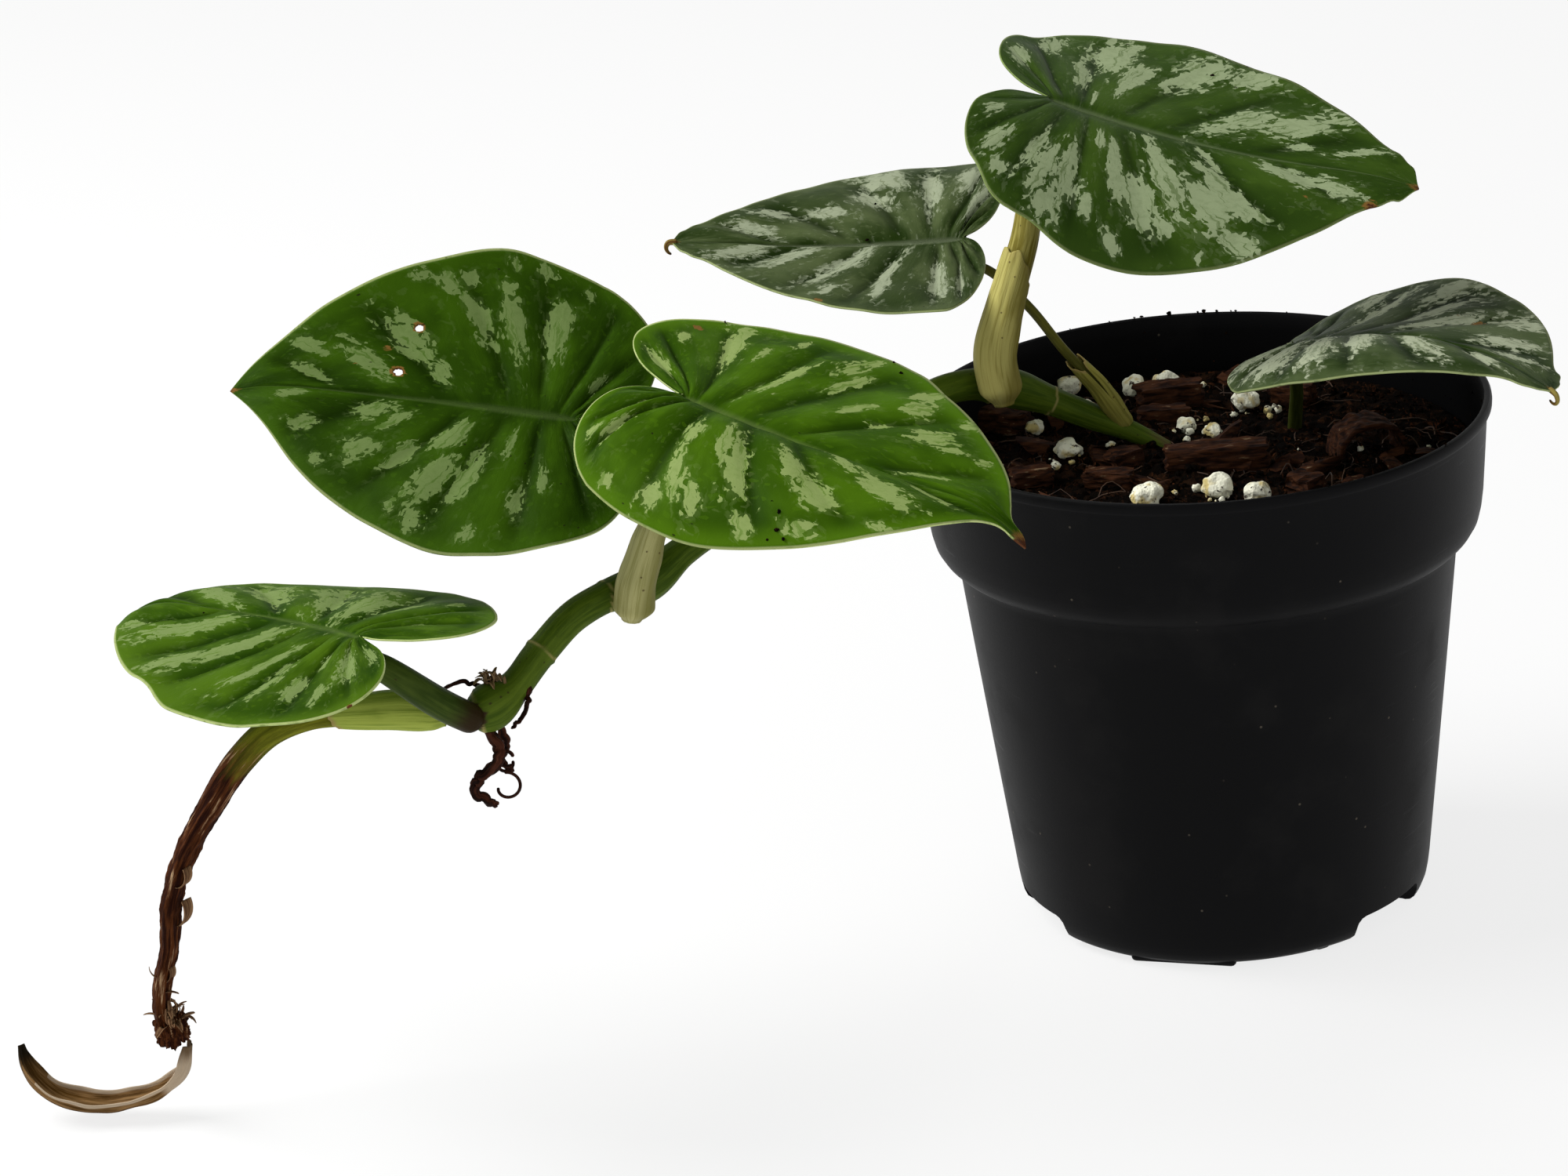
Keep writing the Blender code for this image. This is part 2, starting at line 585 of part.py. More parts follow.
# ---- petioles, sheaths, stems ----
def petiole(name, leaf):
    """Runs up to the blade's notch and ends just under it."""
    route = routed(petioleRoute(name))
    along, _, face = leafFrame(leaf)
    end = route[-1, 3] * PETIOLE_END
    fold = math.radians(max(abs(angle) for angle in leaf["fold"]))
    below = LEAF_THICKNESS / 2 + FIT_GAP + end * math.sin(fold)
    top = inPlace(leaf["at"]) - face * below + along * end
    neck = top - face * NECK_LENGTH
    route = np.vstack([route, (*neck, end * NECK_SWELL), (*top, end)])
    make = stalk if name == "right" else offshoot
    make("petiole_" + name, route, PETIOLE_GREEN)


def sheath(name, inside):
    """A thin sleeve round the foot of a petiole or shoot, open at both ends."""
    route = routed(SHEATH_ROUTES[name])
    made = offshoot("sheath_" + name, route, SHEATH_CREAM)
    hollow = clearOf(routed(inside))
    cut(made, asCutter(meshFrom(f"sheath_{name}_cutter", stalkCurve(name, hollow, 2))))


def sheaths():
    sheath("top", PETIOLE_ROUTES["top"])
    sheath("upper_left", PETIOLE_ROUTES["upper_left"])
    sheath("middle", PETIOLE_ROUTES["middle"])
    sheath("shoot", SHOOT_ROUTE[:5])


def shootEnd():
    """The dead bud and the dried sheath that curls from it down to the surface and up again."""
    budRadius, squash, stretch = 0.0040, 0.9, 1.15
    shape = bmesh.new()
    bmesh.ops.create_icosphere(shape, subdivisions=2, radius=budRadius)
    chance = random.Random(5)
    for vert in shape.verts:
        vert.co *= 0.8 + 0.35 * chance.random()
    bmesh.ops.scale(shape, vec=(1.0, squash, stretch * RISE), verts=shape.verts)
    bmesh.ops.translate(shape, vec=inPlace((-235.6, -74.4, 20.6)), verts=shape.verts)
    place("withered_bud", asMesh("withered_bud", shape), DRIED_BROWN)
    curl = ((-233.8, -73.6, 14.8, 1.6), (-236.0, -73.2, 11.2, 2.4), (-241.2, -72.2, 7.2, 2.9),
            (-248.0, -71.4, 4.8, 3.1), (-256.0, -70.4, 4.8, 3.1), (-263.4, -68.6, 7.4, 2.9),
            (-268.4, -66.0, 11.4, 2.4), (-270.0, -64.0, 16.0, 1.5))
    stalk("curled_sheath", routed(curl), DRIED_TAN)


def vine():
    route = routed(vineRoute())
    stalk("vine", route, VINE_GREEN, steps=3)
    clearance = lengthened(lengthened(clearOf(route), 0), -1)
    asCutter(meshFrom("vine_clearance", stalkCurve("vine_clearance", clearance, 3)))


def plant():
    vine()
    stalk("withered_shoot", routed(SHOOT_ROUTE), DRIED_BROWN)
    shootEnd()
    for name, leaf in BLADES.items():
        blade(name, leaf)
        petiole(name, leaf)
    sheaths()
    for name, route in DRIED_ROOT_ROUTES.items():
        offshoot("dried_root_" + name, routed(route), ROOT_DARK, resolution=1)
    roots()


def looseMix():
    for number, (x, y, size) in enumerate(PERLITE, 1):
        perliteGrain(number, x, y, size)
    for number, chip in enumerate(BARK, 1):
        barkChip(number, *chip)
    barkCurl()


emptyScene()
pot()
pottingMix()
looseMix()
plant()
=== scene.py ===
# A heart-leaved philodendron with silver markings, in a black grower's pot.
# The vine climbs out of the mix, crosses the rim and ends in a withered shoot that hangs to the floor.
# The scene is in metres; the sizes of a piece are in millimetres, in the dictionary beside its code.
import math
import random

import bmesh
import bpy
import numpy as np
from mathutils import Matrix, Vector, noise


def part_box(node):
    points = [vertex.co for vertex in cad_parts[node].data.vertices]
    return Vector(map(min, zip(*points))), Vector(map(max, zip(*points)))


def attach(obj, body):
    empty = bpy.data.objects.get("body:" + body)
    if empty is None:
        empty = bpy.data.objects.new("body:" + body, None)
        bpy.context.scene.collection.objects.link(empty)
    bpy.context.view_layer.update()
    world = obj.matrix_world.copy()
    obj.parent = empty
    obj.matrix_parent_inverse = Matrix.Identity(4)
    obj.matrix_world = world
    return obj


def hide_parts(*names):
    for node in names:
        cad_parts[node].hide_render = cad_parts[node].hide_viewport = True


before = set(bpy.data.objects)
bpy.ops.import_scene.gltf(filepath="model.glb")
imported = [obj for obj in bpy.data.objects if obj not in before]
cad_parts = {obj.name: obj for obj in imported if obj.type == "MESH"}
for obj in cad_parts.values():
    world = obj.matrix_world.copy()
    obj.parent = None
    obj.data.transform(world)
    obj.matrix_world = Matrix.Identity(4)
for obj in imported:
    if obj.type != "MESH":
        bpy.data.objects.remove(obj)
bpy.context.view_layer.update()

mm = 0.001
lift = 1.4  # mm between the floor and the heights that the routes below are given in
print("frame loaded:", len(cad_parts), "CAD nodes")


# selecting, moving points, keeping pieces
def pick(*pieces):
    bpy.ops.object.select_all(action="DESELECT")
    for piece in pieces:
        piece.select_set(True)
    bpy.context.view_layer.objects.active = pieces[0]


def openMesh(piece, mode="VERT", action="SELECT"):
    pick(piece)
    bpy.ops.object.mode_set(mode="EDIT")
    bpy.ops.mesh.select_mode(type=mode)
    bpy.ops.mesh.select_all(action=action)


def closeMesh():
    bpy.ops.object.mode_set(mode="OBJECT")


def mergeSeam(piece, distance=1e-5):
    openMesh(piece)
    bpy.ops.mesh.remove_doubles(threshold=distance)
    closeMesh()


def pointsOf(piece, key="co"):
    found = np.empty(len(piece.data.vertices) * 3, np.float32)
    piece.data.vertices.foreach_get(key, found)
    return found.reshape(-1, 3).astype(float)


def movePoints(piece, places):
    piece.data.vertices.foreach_set("co", np.ascontiguousarray(places, np.float32).ravel())
    piece.data.update()


def newSheet(across, lengthwise):  # a grid, with its places from -1 to 1 across and from 0 to 1 along it
    bpy.ops.mesh.primitive_grid_add(x_subdivisions=across, y_subdivisions=lengthwise, size=2.0)
    piece = bpy.context.object
    flat = pointsOf(piece)
    return piece, flat[:, 0], (flat[:, 1] + 1) / 2


def newBall(radius, fine):  # radius in mm
    bpy.ops.mesh.primitive_ico_sphere_add(subdivisions=fine, radius=radius * mm)
    piece = bpy.context.object
    return piece, pointsOf(piece)


def paint(piece, name, values):  # an attribute that the materials read
    values = np.asarray(values, np.float32)
    kind, key = ("FLOAT_VECTOR", "vector") if values.ndim == 2 else ("FLOAT", "value")
    made = piece.data.attributes.new(name, kind, "POINT")
    made.data.foreach_set(key, values.ravel())


def change(piece, kind, **settings):  # a modifier, added and applied
    pick(piece)
    bpy.ops.object.modifier_add(type=kind)
    modifier = piece.modifiers[-1]
    for key, value in settings.items():
        setattr(modifier, key, value)
    bpy.ops.object.modifier_apply(modifier=modifier.name)


def gather(name, pieces):  # many small meshes made into one piece
    pick(*pieces)
    bpy.ops.object.join()
    made = bpy.context.object
    made.name = name
    return made


def keep(piece, name, slot, *nodes, finishes=(), angle=180):
    pick(piece)
    bpy.ops.object.transform_apply(location=True, rotation=True, scale=True)
    if angle < 180:
        bpy.ops.object.shade_smooth_by_angle(angle=math.radians(angle))
    else:
        bpy.ops.object.shade_smooth()
    piece.name = name
    piece.data.name = name
    if finishes:
        piece.data.materials.clear()
        for finish in finishes:
            piece.data.materials.append(finish)
    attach(piece, "root")
    if nodes:
        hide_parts(*nodes)


def wobble(places, size, seed=0.0, detail=3):  # layered noise at points in metres; size is in mm
    shift = Vector((seed * 7.13, seed * 3.71, seed * 5.37))
    spots = (Vector(place) / (size * mm) + shift for place in places)
    return np.array([noise.fractal(spot, 0.6, 2.0, detail) for spot in spots])


def roughAt(*axes):  # smooth noise from -1 to 1 at places given axis by axis
    return np.array([noise.noise(Vector(place)) for place in zip(*np.broadcast_arrays(*axes))])


def ease(values, low, high):
    share = np.clip((np.asarray(values, float) - low) / (high - low), 0, 1)
    return share * share * (3 - 2 * share)


# node trees written as expressions
class Wire:  # a node's socket, with arithmetic
    def __init__(self, tree, socket=None):
        self.tree = tree
        self.socket = socket

    def node(self, kind, settings=None, inputs=None, output=0):
        made = self.tree.nodes.new("ShaderNode" + kind)
        for key, value in (settings or {}).items():
            if key == "stops":
                while len(made.color_ramp.elements) < len(value):
                    made.color_ramp.elements.new(1.0)
                for element, (place, shade) in zip(made.color_ramp.elements, value):
                    element.position = place
                    element.color = (*shade, 1.0)
            else:
                setattr(made, key, value)
        for key, value in (inputs or {}).items():
            if isinstance(value, Wire):
                self.tree.links.new(value.socket, made.inputs[key])
            else:
                made.inputs[key].default_value = value
        return Wire(self.tree, made.outputs[output])

    def maths(self, operation, first, second=0.0):
        return self.node("Math", {"operation": operation}, {0: first, 1: second})

    def __add__(self, other):
        return self.maths("ADD", self, other)

    __radd__ = __add__

    def __sub__(self, other):
        return self.maths("SUBTRACT", self, other)

    def __rsub__(self, other):
        return self.maths("SUBTRACT", other, self)

    def __mul__(self, other):
        return self.maths("MULTIPLY", self, other)

    __rmul__ = __mul__

    def here(self):
        return self.node("TexCoord", output="Object")

    def read(self, name, output="Fac"):
        return self.node("Attribute", {"attribute_name": name}, output=output)

    def scaled(self, where, scale):
        return self.node("Mapping", None, {"Vector": where, "Scale": scale})

    def clouds(self, where, size, detail=3.0, rough=0.55, twist=0.0):
        return self.node("TexNoise", None, {"Vector": where, "Scale": 1.0 / size, "Detail": detail,
                                            "Roughness": rough, "Distortion": twist})

    def cells(self, where, size, output="Distance"):
        return self.node("TexVoronoi", None, {"Vector": where, "Scale": 1.0 / size}, output)

    def chance(self, where, size):  # one random value for each cell
        colour = self.cells(where, size, "Color")
        return self.node("SeparateColor", None, {"Color": colour})

    def between(self, value, low, high):
        return self.node("MapRange", {"interpolation_type": "SMOOTHSTEP"},
                         {"Value": value, "From Min": low, "From Max": high})

    def mixed(self, share, first, second):
        first, second = ((*c, 1.0) if isinstance(c, tuple) else c for c in (first, second))
        return self.node("Mix", {"data_type": "RGBA"}, {0: share, 6: first, 7: second}, 2)

    def ramp(self, value, *stops):
        return self.node("ValToRGB", {"stops": stops}, {"Fac": value})

    def bump(self, height, distance, strength=1.0, under=None):
        inputs = {"Height": height, "Distance": distance, "Strength": strength}
        if under:
            inputs["Normal"] = under
        return self.node("Bump", None, inputs)


def newFinish(name, specular=0.5):
    made = bpy.data.materials.new(name)
    made.use_nodes = True
    shader = made.node_tree.nodes["Principled BSDF"]
    shader.inputs["Specular IOR Level"].default_value = specular
    return made, Wire(made.node_tree), shader


def toned(colour, share):
    return tuple(value * share for value in colour)


def wear(shader, **links):
    for key, value in links.items():
        socket = shader.inputs[key.replace("_", " ")]
        if isinstance(value, Wire):
            value.tree.links.new(value.socket, socket)
        else:
            socket.default_value = (*value, 1.0) if isinstance(value, tuple) else value


# camera, lights, floor
studio = {
    "cameraAt": (-0.0957, -1.0347, 0.4827), "lookDown": 21.15, "roll": -4.99, "lens": 113.06,
    "horizon": 0.95, "zenith": 0.22, "keyWatts": 22.0, "keyAt": (-0.90, 0.10, 1.05), "keySize": 0.8,
    "fillWatts": 2.0, "fillAt": (0.5, -1.1, 1.0), "fillSize": 1.2, "skyFrom": 0.12, "skyTo": 0.72,
    "floorTone": (0.17, 0.17, 0.17), "floorMottle": (0.175, 0.175, 0.172), "floorGlow": 0.79,
    "floorSide": 14.0, "sensor": 36.0, "farthest": 60.0,
}


def aimAt(lamp, place, target=(-0.08, -0.03, 0.08)):
    lamp.location = place
    lamp.rotation_euler = (Vector(target) - Vector(place)).to_track_quat("-Z", "Y").to_euler()


def setStudio():
    scene = bpy.context.scene
    scene.view_settings.view_transform = "Standard"
    bpy.ops.object.camera_add()
    camera = bpy.context.object
    turn = Matrix.Rotation(math.radians(90 - studio["lookDown"]), 4, "X")
    turn = turn @ Matrix.Rotation(math.radians(studio["roll"]), 4, "Z")
    camera.matrix_world = Matrix.Translation(studio["cameraAt"]) @ turn
    camera.data.lens = studio["lens"]
    camera.data.sensor_width = studio["sensor"]
    camera.data.clip_end = studio["farthest"]
    scene.camera = camera
    scene.world = bpy.data.worlds.new("studioSky")
    scene.world.use_nodes = True
    dome = Wire(scene.world.node_tree)
    height = dome.node("SeparateXYZ", None, {"Vector": dome.node("TexCoord", output="Generated")}, "Z")
    rise = dome.between(height, studio["skyFrom"], studio["skyTo"])
    level = dome.mixed(rise, (studio["horizon"],) * 3, (studio["zenith"],) * 3)
    sky = scene.world.node_tree.nodes["Background"]
    scene.world.node_tree.links.new(level.socket, sky.inputs["Color"])
    for name in ("key", "fill"):
        bpy.ops.object.light_add(type="AREA")
        lamp = bpy.context.object
        lamp.name = name + "Light"
        lamp.data.energy = studio[name + "Watts"]
        lamp.data.size = studio[name + "Size"]
        aimAt(lamp, studio[name + "At"])
    bpy.ops.mesh.primitive_plane_add(size=studio["floorSide"], location=(0, 0, 0))
    floor = bpy.context.object
    floor.name = "studioFloor"
    made, wire, shader = newFinish("studioFloor", 0.0)
    tone = wire.mixed(wire.clouds(wire.here(), 0.4, 2.0), studio["floorTone"], studio["floorMottle"])
    wear(shader, Base_Color=tone, Roughness=0.9, Emission_Color=(1.0, 1.0, 1.0),
         Emission_Strength=studio["floorGlow"])
    floor.data.materials.append(made)


setStudio()
print("studio set")


# routes and what is rolled round them
def smoothed(points, steps):  # through the points without overshoot
    points = np.asarray(points, float)
    gaps = np.linalg.norm(np.diff(points[:, :3], axis=0), axis=1)[:, None]
    slopes = np.diff(points, axis=0) / gaps
    inner = (slopes[:-1] * gaps[1:] + slopes[1:] * gaps[:-1]) / (gaps[:-1] + gaps[1:])
    tangents = np.vstack([slopes[:1], inner, slopes[-1:]])
    t = np.arange(steps)[:, None] / steps
    made = []
    for index, gap in enumerate(gaps):
        start, end = points[index], points[index + 1]
        leaving, arriving = tangents[index] * gap, tangents[index + 1] * gap
        made.append((2 * t ** 3 - 3 * t ** 2 + 1) * start + (t ** 3 - 2 * t ** 2 + t) * leaving
                    + (3 * t ** 2 - 2 * t ** 3) * end + (t ** 3 - t ** 2) * arriving)
    return np.vstack([*made, points[-1:]])


def onDesign(point):  # mm of the design to metres of the scene
    return np.array([point[0], point[1], point[2] + lift]) * mm


def layPath(route):  # a smooth line with its own sideways and upward directions all along
    line = smoothed(route, 16)
    centre = (line[:, :3] + [0, 0, lift]) * mm
    arc = np.concatenate([[0], np.cumsum(np.linalg.norm(np.diff(centre, axis=0), axis=1))])
    ahead = np.gradient(centre, arc, axis=0)
    ahead /= np.linalg.norm(ahead, axis=1)[:, None]
    sideways = np.empty_like(ahead)
    start = np.cross(ahead[0], (0, 0, 1.0))
    if np.linalg.norm(start) < 0.1:
        start = np.cross(ahead[0], (0, 1.0, 0))
    sideways[0] = start / np.linalg.norm(start)
    for index in range(1, len(ahead)):
        turned = sideways[index - 1] - ahead[index] * (sideways[index - 1] @ ahead[index])
        sideways[index] = turned / np.linalg.norm(turned)
    return {"arc": arc, "centre": centre, "radius": line[:, 3] * mm, "ahead": ahead, "side": sideways,
            "up": np.cross(ahead, sideways), "length": arc[-1]}


def along(path, key, arc):
    values = path[key]
    if values.ndim == 1:
        return np.interp(arc, path["arc"], values)
    return np.column_stack([np.interp(arc, path["arc"], values[:, axis]) for axis in range(3)])


def aroundPath(path, arc, turn, radius):
    spoke = along(path, "side", arc) * np.cos(turn)[:, None] + along(path, "up", arc) * np.sin(turn)[:, None]
    return along(path, "centre", arc) + spoke * np.asarray(radius)[:, None]


def paintLength(piece, path, turn, arc, share):  # what the skins of stalks and sheaths read
    girth = np.mean(path["radius"]) / mm
    paint(piece, "grain", np.column_stack([np.cos(turn) * girth, np.sin(turn) * girth, arc / mm]))
    paint(piece, "run", share)


def rollStalk(route, around=28, spacing=0.7, swell=None):
    # a grid rolled round the route, with rounded ends; swell gives its girth from (turn, arc in mm, share)
    path = layPath(route)
    piece, across, share = newSheet(around, max(10, int(path["length"] / (spacing * mm))))
    turn, arc = (across + 1) * math.pi, share * path["length"]
    radius = along(path, "radius", arc)
    for reach in (arc / radius, (path["length"] - arc) / radius):
        radius = radius * np.sqrt(1 - (1 - np.clip(reach, 0, 1)) ** 2)
    if swell:
        radius = radius * swell(turn, arc / mm, share)
    movePoints(piece, aroundPath(path, arc, turn, radius))
    paintLength(piece, path, turn, arc, share)
    mergeSeam(piece)
    return piece


# pot
pot = {
    "around": 192, "notches": (-42, -162, 78), "notchTop": 6.6, "notchWidth": 24.0,
    "feet": ((-109, 24.0), (11, 24.0), (131, 24.0), (-66, 4.0), (-20, 4.0), (54, 4.0), (174, 4.0)),
    "tone": (0.0018, 0.0018, 0.0021), "worn": (0.0028, 0.0028, 0.0032), "dust": (0.020, 0.019, 0.018),
    "speck": (0.10, 0.085, 0.065), "footSize": (2.8, 3.2), "footAt": (42.2, 1.6), "footRound": 1.1,
    "notchDepth": 16.0, "notchAt": 46.5, "notchRound": 2.4,
    "profile": (
        (0.5, 0.3), (28.0, 0.2), (30.0, 0.3), (30.6, 0.6), (31.0, 0.9), (43.4, 0.9), (44.7, 1.3),
        (45.8, 2.3), (46.5, 4.0), (46.9, 5.9), (47.3, 8.6), (47.8, 13.0), (50.0, 32.0), (52.4, 53.0),
        (54.6, 72.5), (55.9, 84.2), (56.2, 86.4), (56.6, 86.9), (57.5, 87.0), (58.8, 87.5), (60.0, 88.7),
        (61.0, 90.4), (61.6, 92.8), (62.1, 96.4), (62.8, 105.4), (63.45, 114.3), (63.6, 115.0),
        (64.3, 115.3), (64.55, 115.8), (64.6, 116.6), (64.5, 117.3), (64.1, 117.75), (63.5, 117.85),
        (62.9, 117.6), (62.6, 117.0), (62.2, 113.6), (61.5, 105.0), (60.9, 96.4), (60.4, 93.0),
        (59.5, 90.6), (58.0, 89.2), (55.2, 88.0), (54.6, 84.0), (52.0, 61.0), (48.6, 32.0), (46.0, 10.0),
        (44.9, 6.4), (43.0, 4.8), (40.0, 4.3), (0.5, 4.3),
    ),
}


def turnOut(profile, around):  # a circle drawn up its profile, one edge loop at a time
    radius, height = (value * mm for value in profile[0])
    bpy.ops.mesh.primitive_circle_add(vertices=around, radius=radius,
                                      location=(0, 0, height), fill_type="NGON")
    piece = bpy.context.object
    bpy.ops.object.transform_apply(location=True)
    openMesh(piece, "EDGE")
    bpy.ops.mesh.flip_normals()
    for (inner, low), (outer, high) in zip(profile, profile[1:]):
        bpy.ops.mesh.extrude_region_move(TRANSFORM_OT_translate={"value": (0, 0, (high - low) * mm)})
        bpy.ops.transform.resize(value=(outer / inner, outer / inner, 1), center_override=(0, 0, high * mm))
    closeMesh()
    return piece


def bevelledBlock(size, at, angle, rounding):  # size is out from the pot's axis, across, and up
    bpy.ops.mesh.primitive_cube_add(size=1.0, location=(0, 0, 0))
    block = bpy.context.object
    openMesh(block)
    bpy.ops.transform.resize(value=[side * mm for side in size], center_override=(0, 0, 0))
    bpy.ops.transform.translate(value=(at[0] * mm, 0, at[1] * mm))
    closeMesh()
    change(block, "BEVEL", width=rounding * mm, segments=3, limit_method="ANGLE")
    block.data.transform(Matrix.Rotation(math.radians(angle), 4, "Z"))
    return block


def blackPlastic():
    made, wire, shader = newFinish("blackPlastic", 0.06)
    here = wire.here()
    pebble = wire.clouds(here, 0.45 * mm, 2.0)
    flow = wire.clouds(wire.scaled(here, (1.0, 1.0, 0.12)), 9 * mm, 3.0)
    smear = wire.between(wire.clouds(here, 22 * mm, 4.0), 0.5, 0.72)
    specks = wire.between(wire.cells(here, 5.2 * mm), 0.075, 0.03)
    specks = specks * wire.between(wire.clouds(here, 11 * mm), 0.48, 0.6)
    scratches = wire.between(wire.clouds(wire.scaled(here, (1.0, 1.0, 14.0)), 16 * mm, 4.0), 0.64, 0.7)
    tone = wire.mixed(flow * 0.5, pot["tone"], pot["worn"])
    tone = wire.mixed(smear * 0.16, tone, pot["dust"])
    tone = wire.mixed(specks * 0.6, tone, pot["speck"])
    rough = 0.44 + 0.10 * smear + 0.08 * pebble - 0.06 * scratches
    soft = wire.bump(pebble * 0.6 + flow * 0.4, 0.05 * mm, 0.5)
    wear(shader, Base_Color=tone, Roughness=rough, Normal=wire.bump(scratches, 0.02 * mm, 0.25, soft))
    return made


def makePot():
    piece = turnOut(pot["profile"], pot["around"])
    for angle in pot["notches"]:
        size = (pot["notchDepth"], pot["notchWidth"], 2 * pot["notchTop"])
        cutter = bevelledBlock(size, (pot["notchAt"], 0.0), angle, pot["notchRound"])
        change(piece, "BOOLEAN", operation="DIFFERENCE", object=cutter, solver="EXACT")
        bpy.data.objects.remove(cutter)
    deep, high = pot["footSize"]
    feet = [bevelledBlock((deep, width, high), pot["footAt"], angle, pot["footRound"])
            for angle, width in pot["feet"]]
    piece = gather("pot_shell", [piece, *feet])
    keep(piece, "pot_shell", "pot_plastic", "pot", finishes=[blackPlastic()], angle=34)


makePot()
print("pot made")


# potting mix
mix = {
    "level": 105.2, "radius": 60.7, "cuts": 230, "mounds": 1.5, "lumps": 1.3, "grit": 0.55, "crumbs": 1500,
    "fibres": 150, "dark": (0.0018, 0.0011, 0.0006), "brown": (0.016, 0.007, 0.003),
    "rust": (0.065, 0.022, 0.008), "damp": (0.0022, 0.0014, 0.0010), "coir": (0.010, 0.004, 0.002),
    "coirLight": (0.090, 0.042, 0.018), "rimGrain": 0.65,
    "side": ((60.2, 96.0), (57.6, 90.0), (54.2, 86.0), (45.4, 9.6), (43.2, 5.6), (30.0, 4.8)),
    "onRim": (
        (96, 1.7), (97.5, 1.1), (90, 2.1), (84, 1.3), (82.8, 2.3), (80, 1.5), (77, 0.9), (103, 0.9),
        (76, 1.2), (65, 0.8), (112, 0.7), (-40, 0.9), (-63, 0.8), (-71, 1.2), (30, 0.8),
    ),
    "onWall": 110, "fibreReach": 59, "rimRadius": 63.6, "rimTop": 117.9, "wallRadius": 60.9, "wallFoot": 96,
    "wallSlope": 0.085,
}


def mixHeight(x, y):  # mm of the design to the height of the mix there
    place = Vector((x, y, 0))
    out = math.hypot(x, y) / mix["radius"]
    swell = noise.fractal(place / 26 + Vector((3.1, 8.2, 0)), 0.5, 2.0, 2) * mix["mounds"]
    lump = noise.fractal(place / 6.5, 0.7, 2.1, 4) * mix["lumps"]
    pebbles = noise.voronoi(place / 2.6)[0]
    grit = (pebbles[1] - pebbles[0]) * mix["grit"] + noise.noise(place / 0.9) * 0.25
    return mix["level"] + (swell + lump) * (1 - out ** 6) + grit - 1.1 * out ** 8


def darkMix():
    made, wire, shader = newFinish("darkMix", 0.03)
    here = wire.here()
    bits = wire.chance(here, 1.7 * mm)
    strands = wire.clouds(wire.scaled(here, (1.0, 0.25, 1.0)), 1.6 * mm, 4.0, twist=1.5)
    damp = wire.clouds(here, 14 * mm, 2.0)
    tone = wire.mixed(wire.between(bits, 0.45, 0.95), mix["dark"], mix["brown"])
    tone = wire.mixed(wire.between(strands, 0.58, 0.66) * 0.7, tone, mix["rust"])
    tone = wire.mixed(wire.between(damp, 0.42, 0.62) * 0.6, tone, mix["damp"])
    grain = wire.clouds(here, 0.5 * mm, 3.0)
    wear(shader, Base_Color=tone, Roughness=0.92, Normal=wire.bump(grain + strands, 0.5 * mm, 0.8))
    return made


def makeMix(finish):
    piece, x, share = newSheet(mix["cuts"], mix["cuts"])
    y = share * 2 - 1
    disc = np.column_stack([x * np.sqrt(1 - y * y / 2), y * np.sqrt(1 - x * x / 2)]) * mix["radius"]
    top = np.array([mixHeight(*place) for place in disc])
    movePoints(piece, np.column_stack([disc, top]) * mm)
    openMesh(piece, "EDGE", "DESELECT")
    bpy.ops.mesh.select_non_manifold()
    for radius, height in mix["side"]:
        bpy.ops.mesh.extrude_region_move()
        closeMesh()
        places = pointsOf(piece)
        rim = np.array([vert.select for vert in piece.data.vertices])
        places[rim, :2] *= radius * mm / np.hypot(places[rim, 0], places[rim, 1])[:, None]
        places[rim, 2] = height * mm
        movePoints(piece, places)
        bpy.ops.object.mode_set(mode="EDIT")
    bpy.ops.mesh.edge_face_add()
    closeMesh()
    keep(piece, "mix_surface", "potting_mix", "potting_mix", finishes=[finish])


def crumb(chance, stretch=(1, 1, 1), fine=1):  # one lump at the origin, 1 mm across
    piece, places = newBall(0.5, fine)
    knock = 1 + 0.28 * np.array([chance.uniform(-1, 1) for _ in places])
    movePoints(piece, places * knock[:, None] * np.array(stretch))
    return piece


def scattered(name, models, spots):  # copies of a few models in one mesh; a spot is place in mm, turn, scale
    shape = bmesh.new()
    for index, (place, turn, scale) in enumerate(spots):
        model = models[index % len(models)]
        start = len(shape.verts)
        shape.from_mesh(model.data)
        shape.verts.ensure_lookup_table()
        move = Matrix.Translation(Vector(place) * mm) @ turn.to_matrix().to_4x4() @ Matrix.Scale(scale, 4)
        bmesh.ops.transform(shape, matrix=move, verts=shape.verts[start:])
    data = bpy.data.meshes.new(name)
    shape.to_mesh(data)
    shape.free()
    made = bpy.data.objects.new(name, data)
    bpy.context.scene.collection.objects.link(made)
    for model in models:
        bpy.data.objects.remove(model)
    return made


def anyTurn(chance):
    return Vector((chance.gauss(0, 1), chance.gauss(0, 1), chance.gauss(0, 1))).to_track_quat("Z", "Y")


def onRing(turn, radius, height):
    return radius * math.cos(turn), radius * math.sin(turn), height


def onMix(chance, edge=0.97):  # a random spot on the mix
    out = mix["radius"] * edge * math.sqrt(chance.random())
    turn = chance.uniform(0, math.tau)
    x, y = out * math.cos(turn), out * math.sin(turn)
    return x, y, mixHeight(x, y)


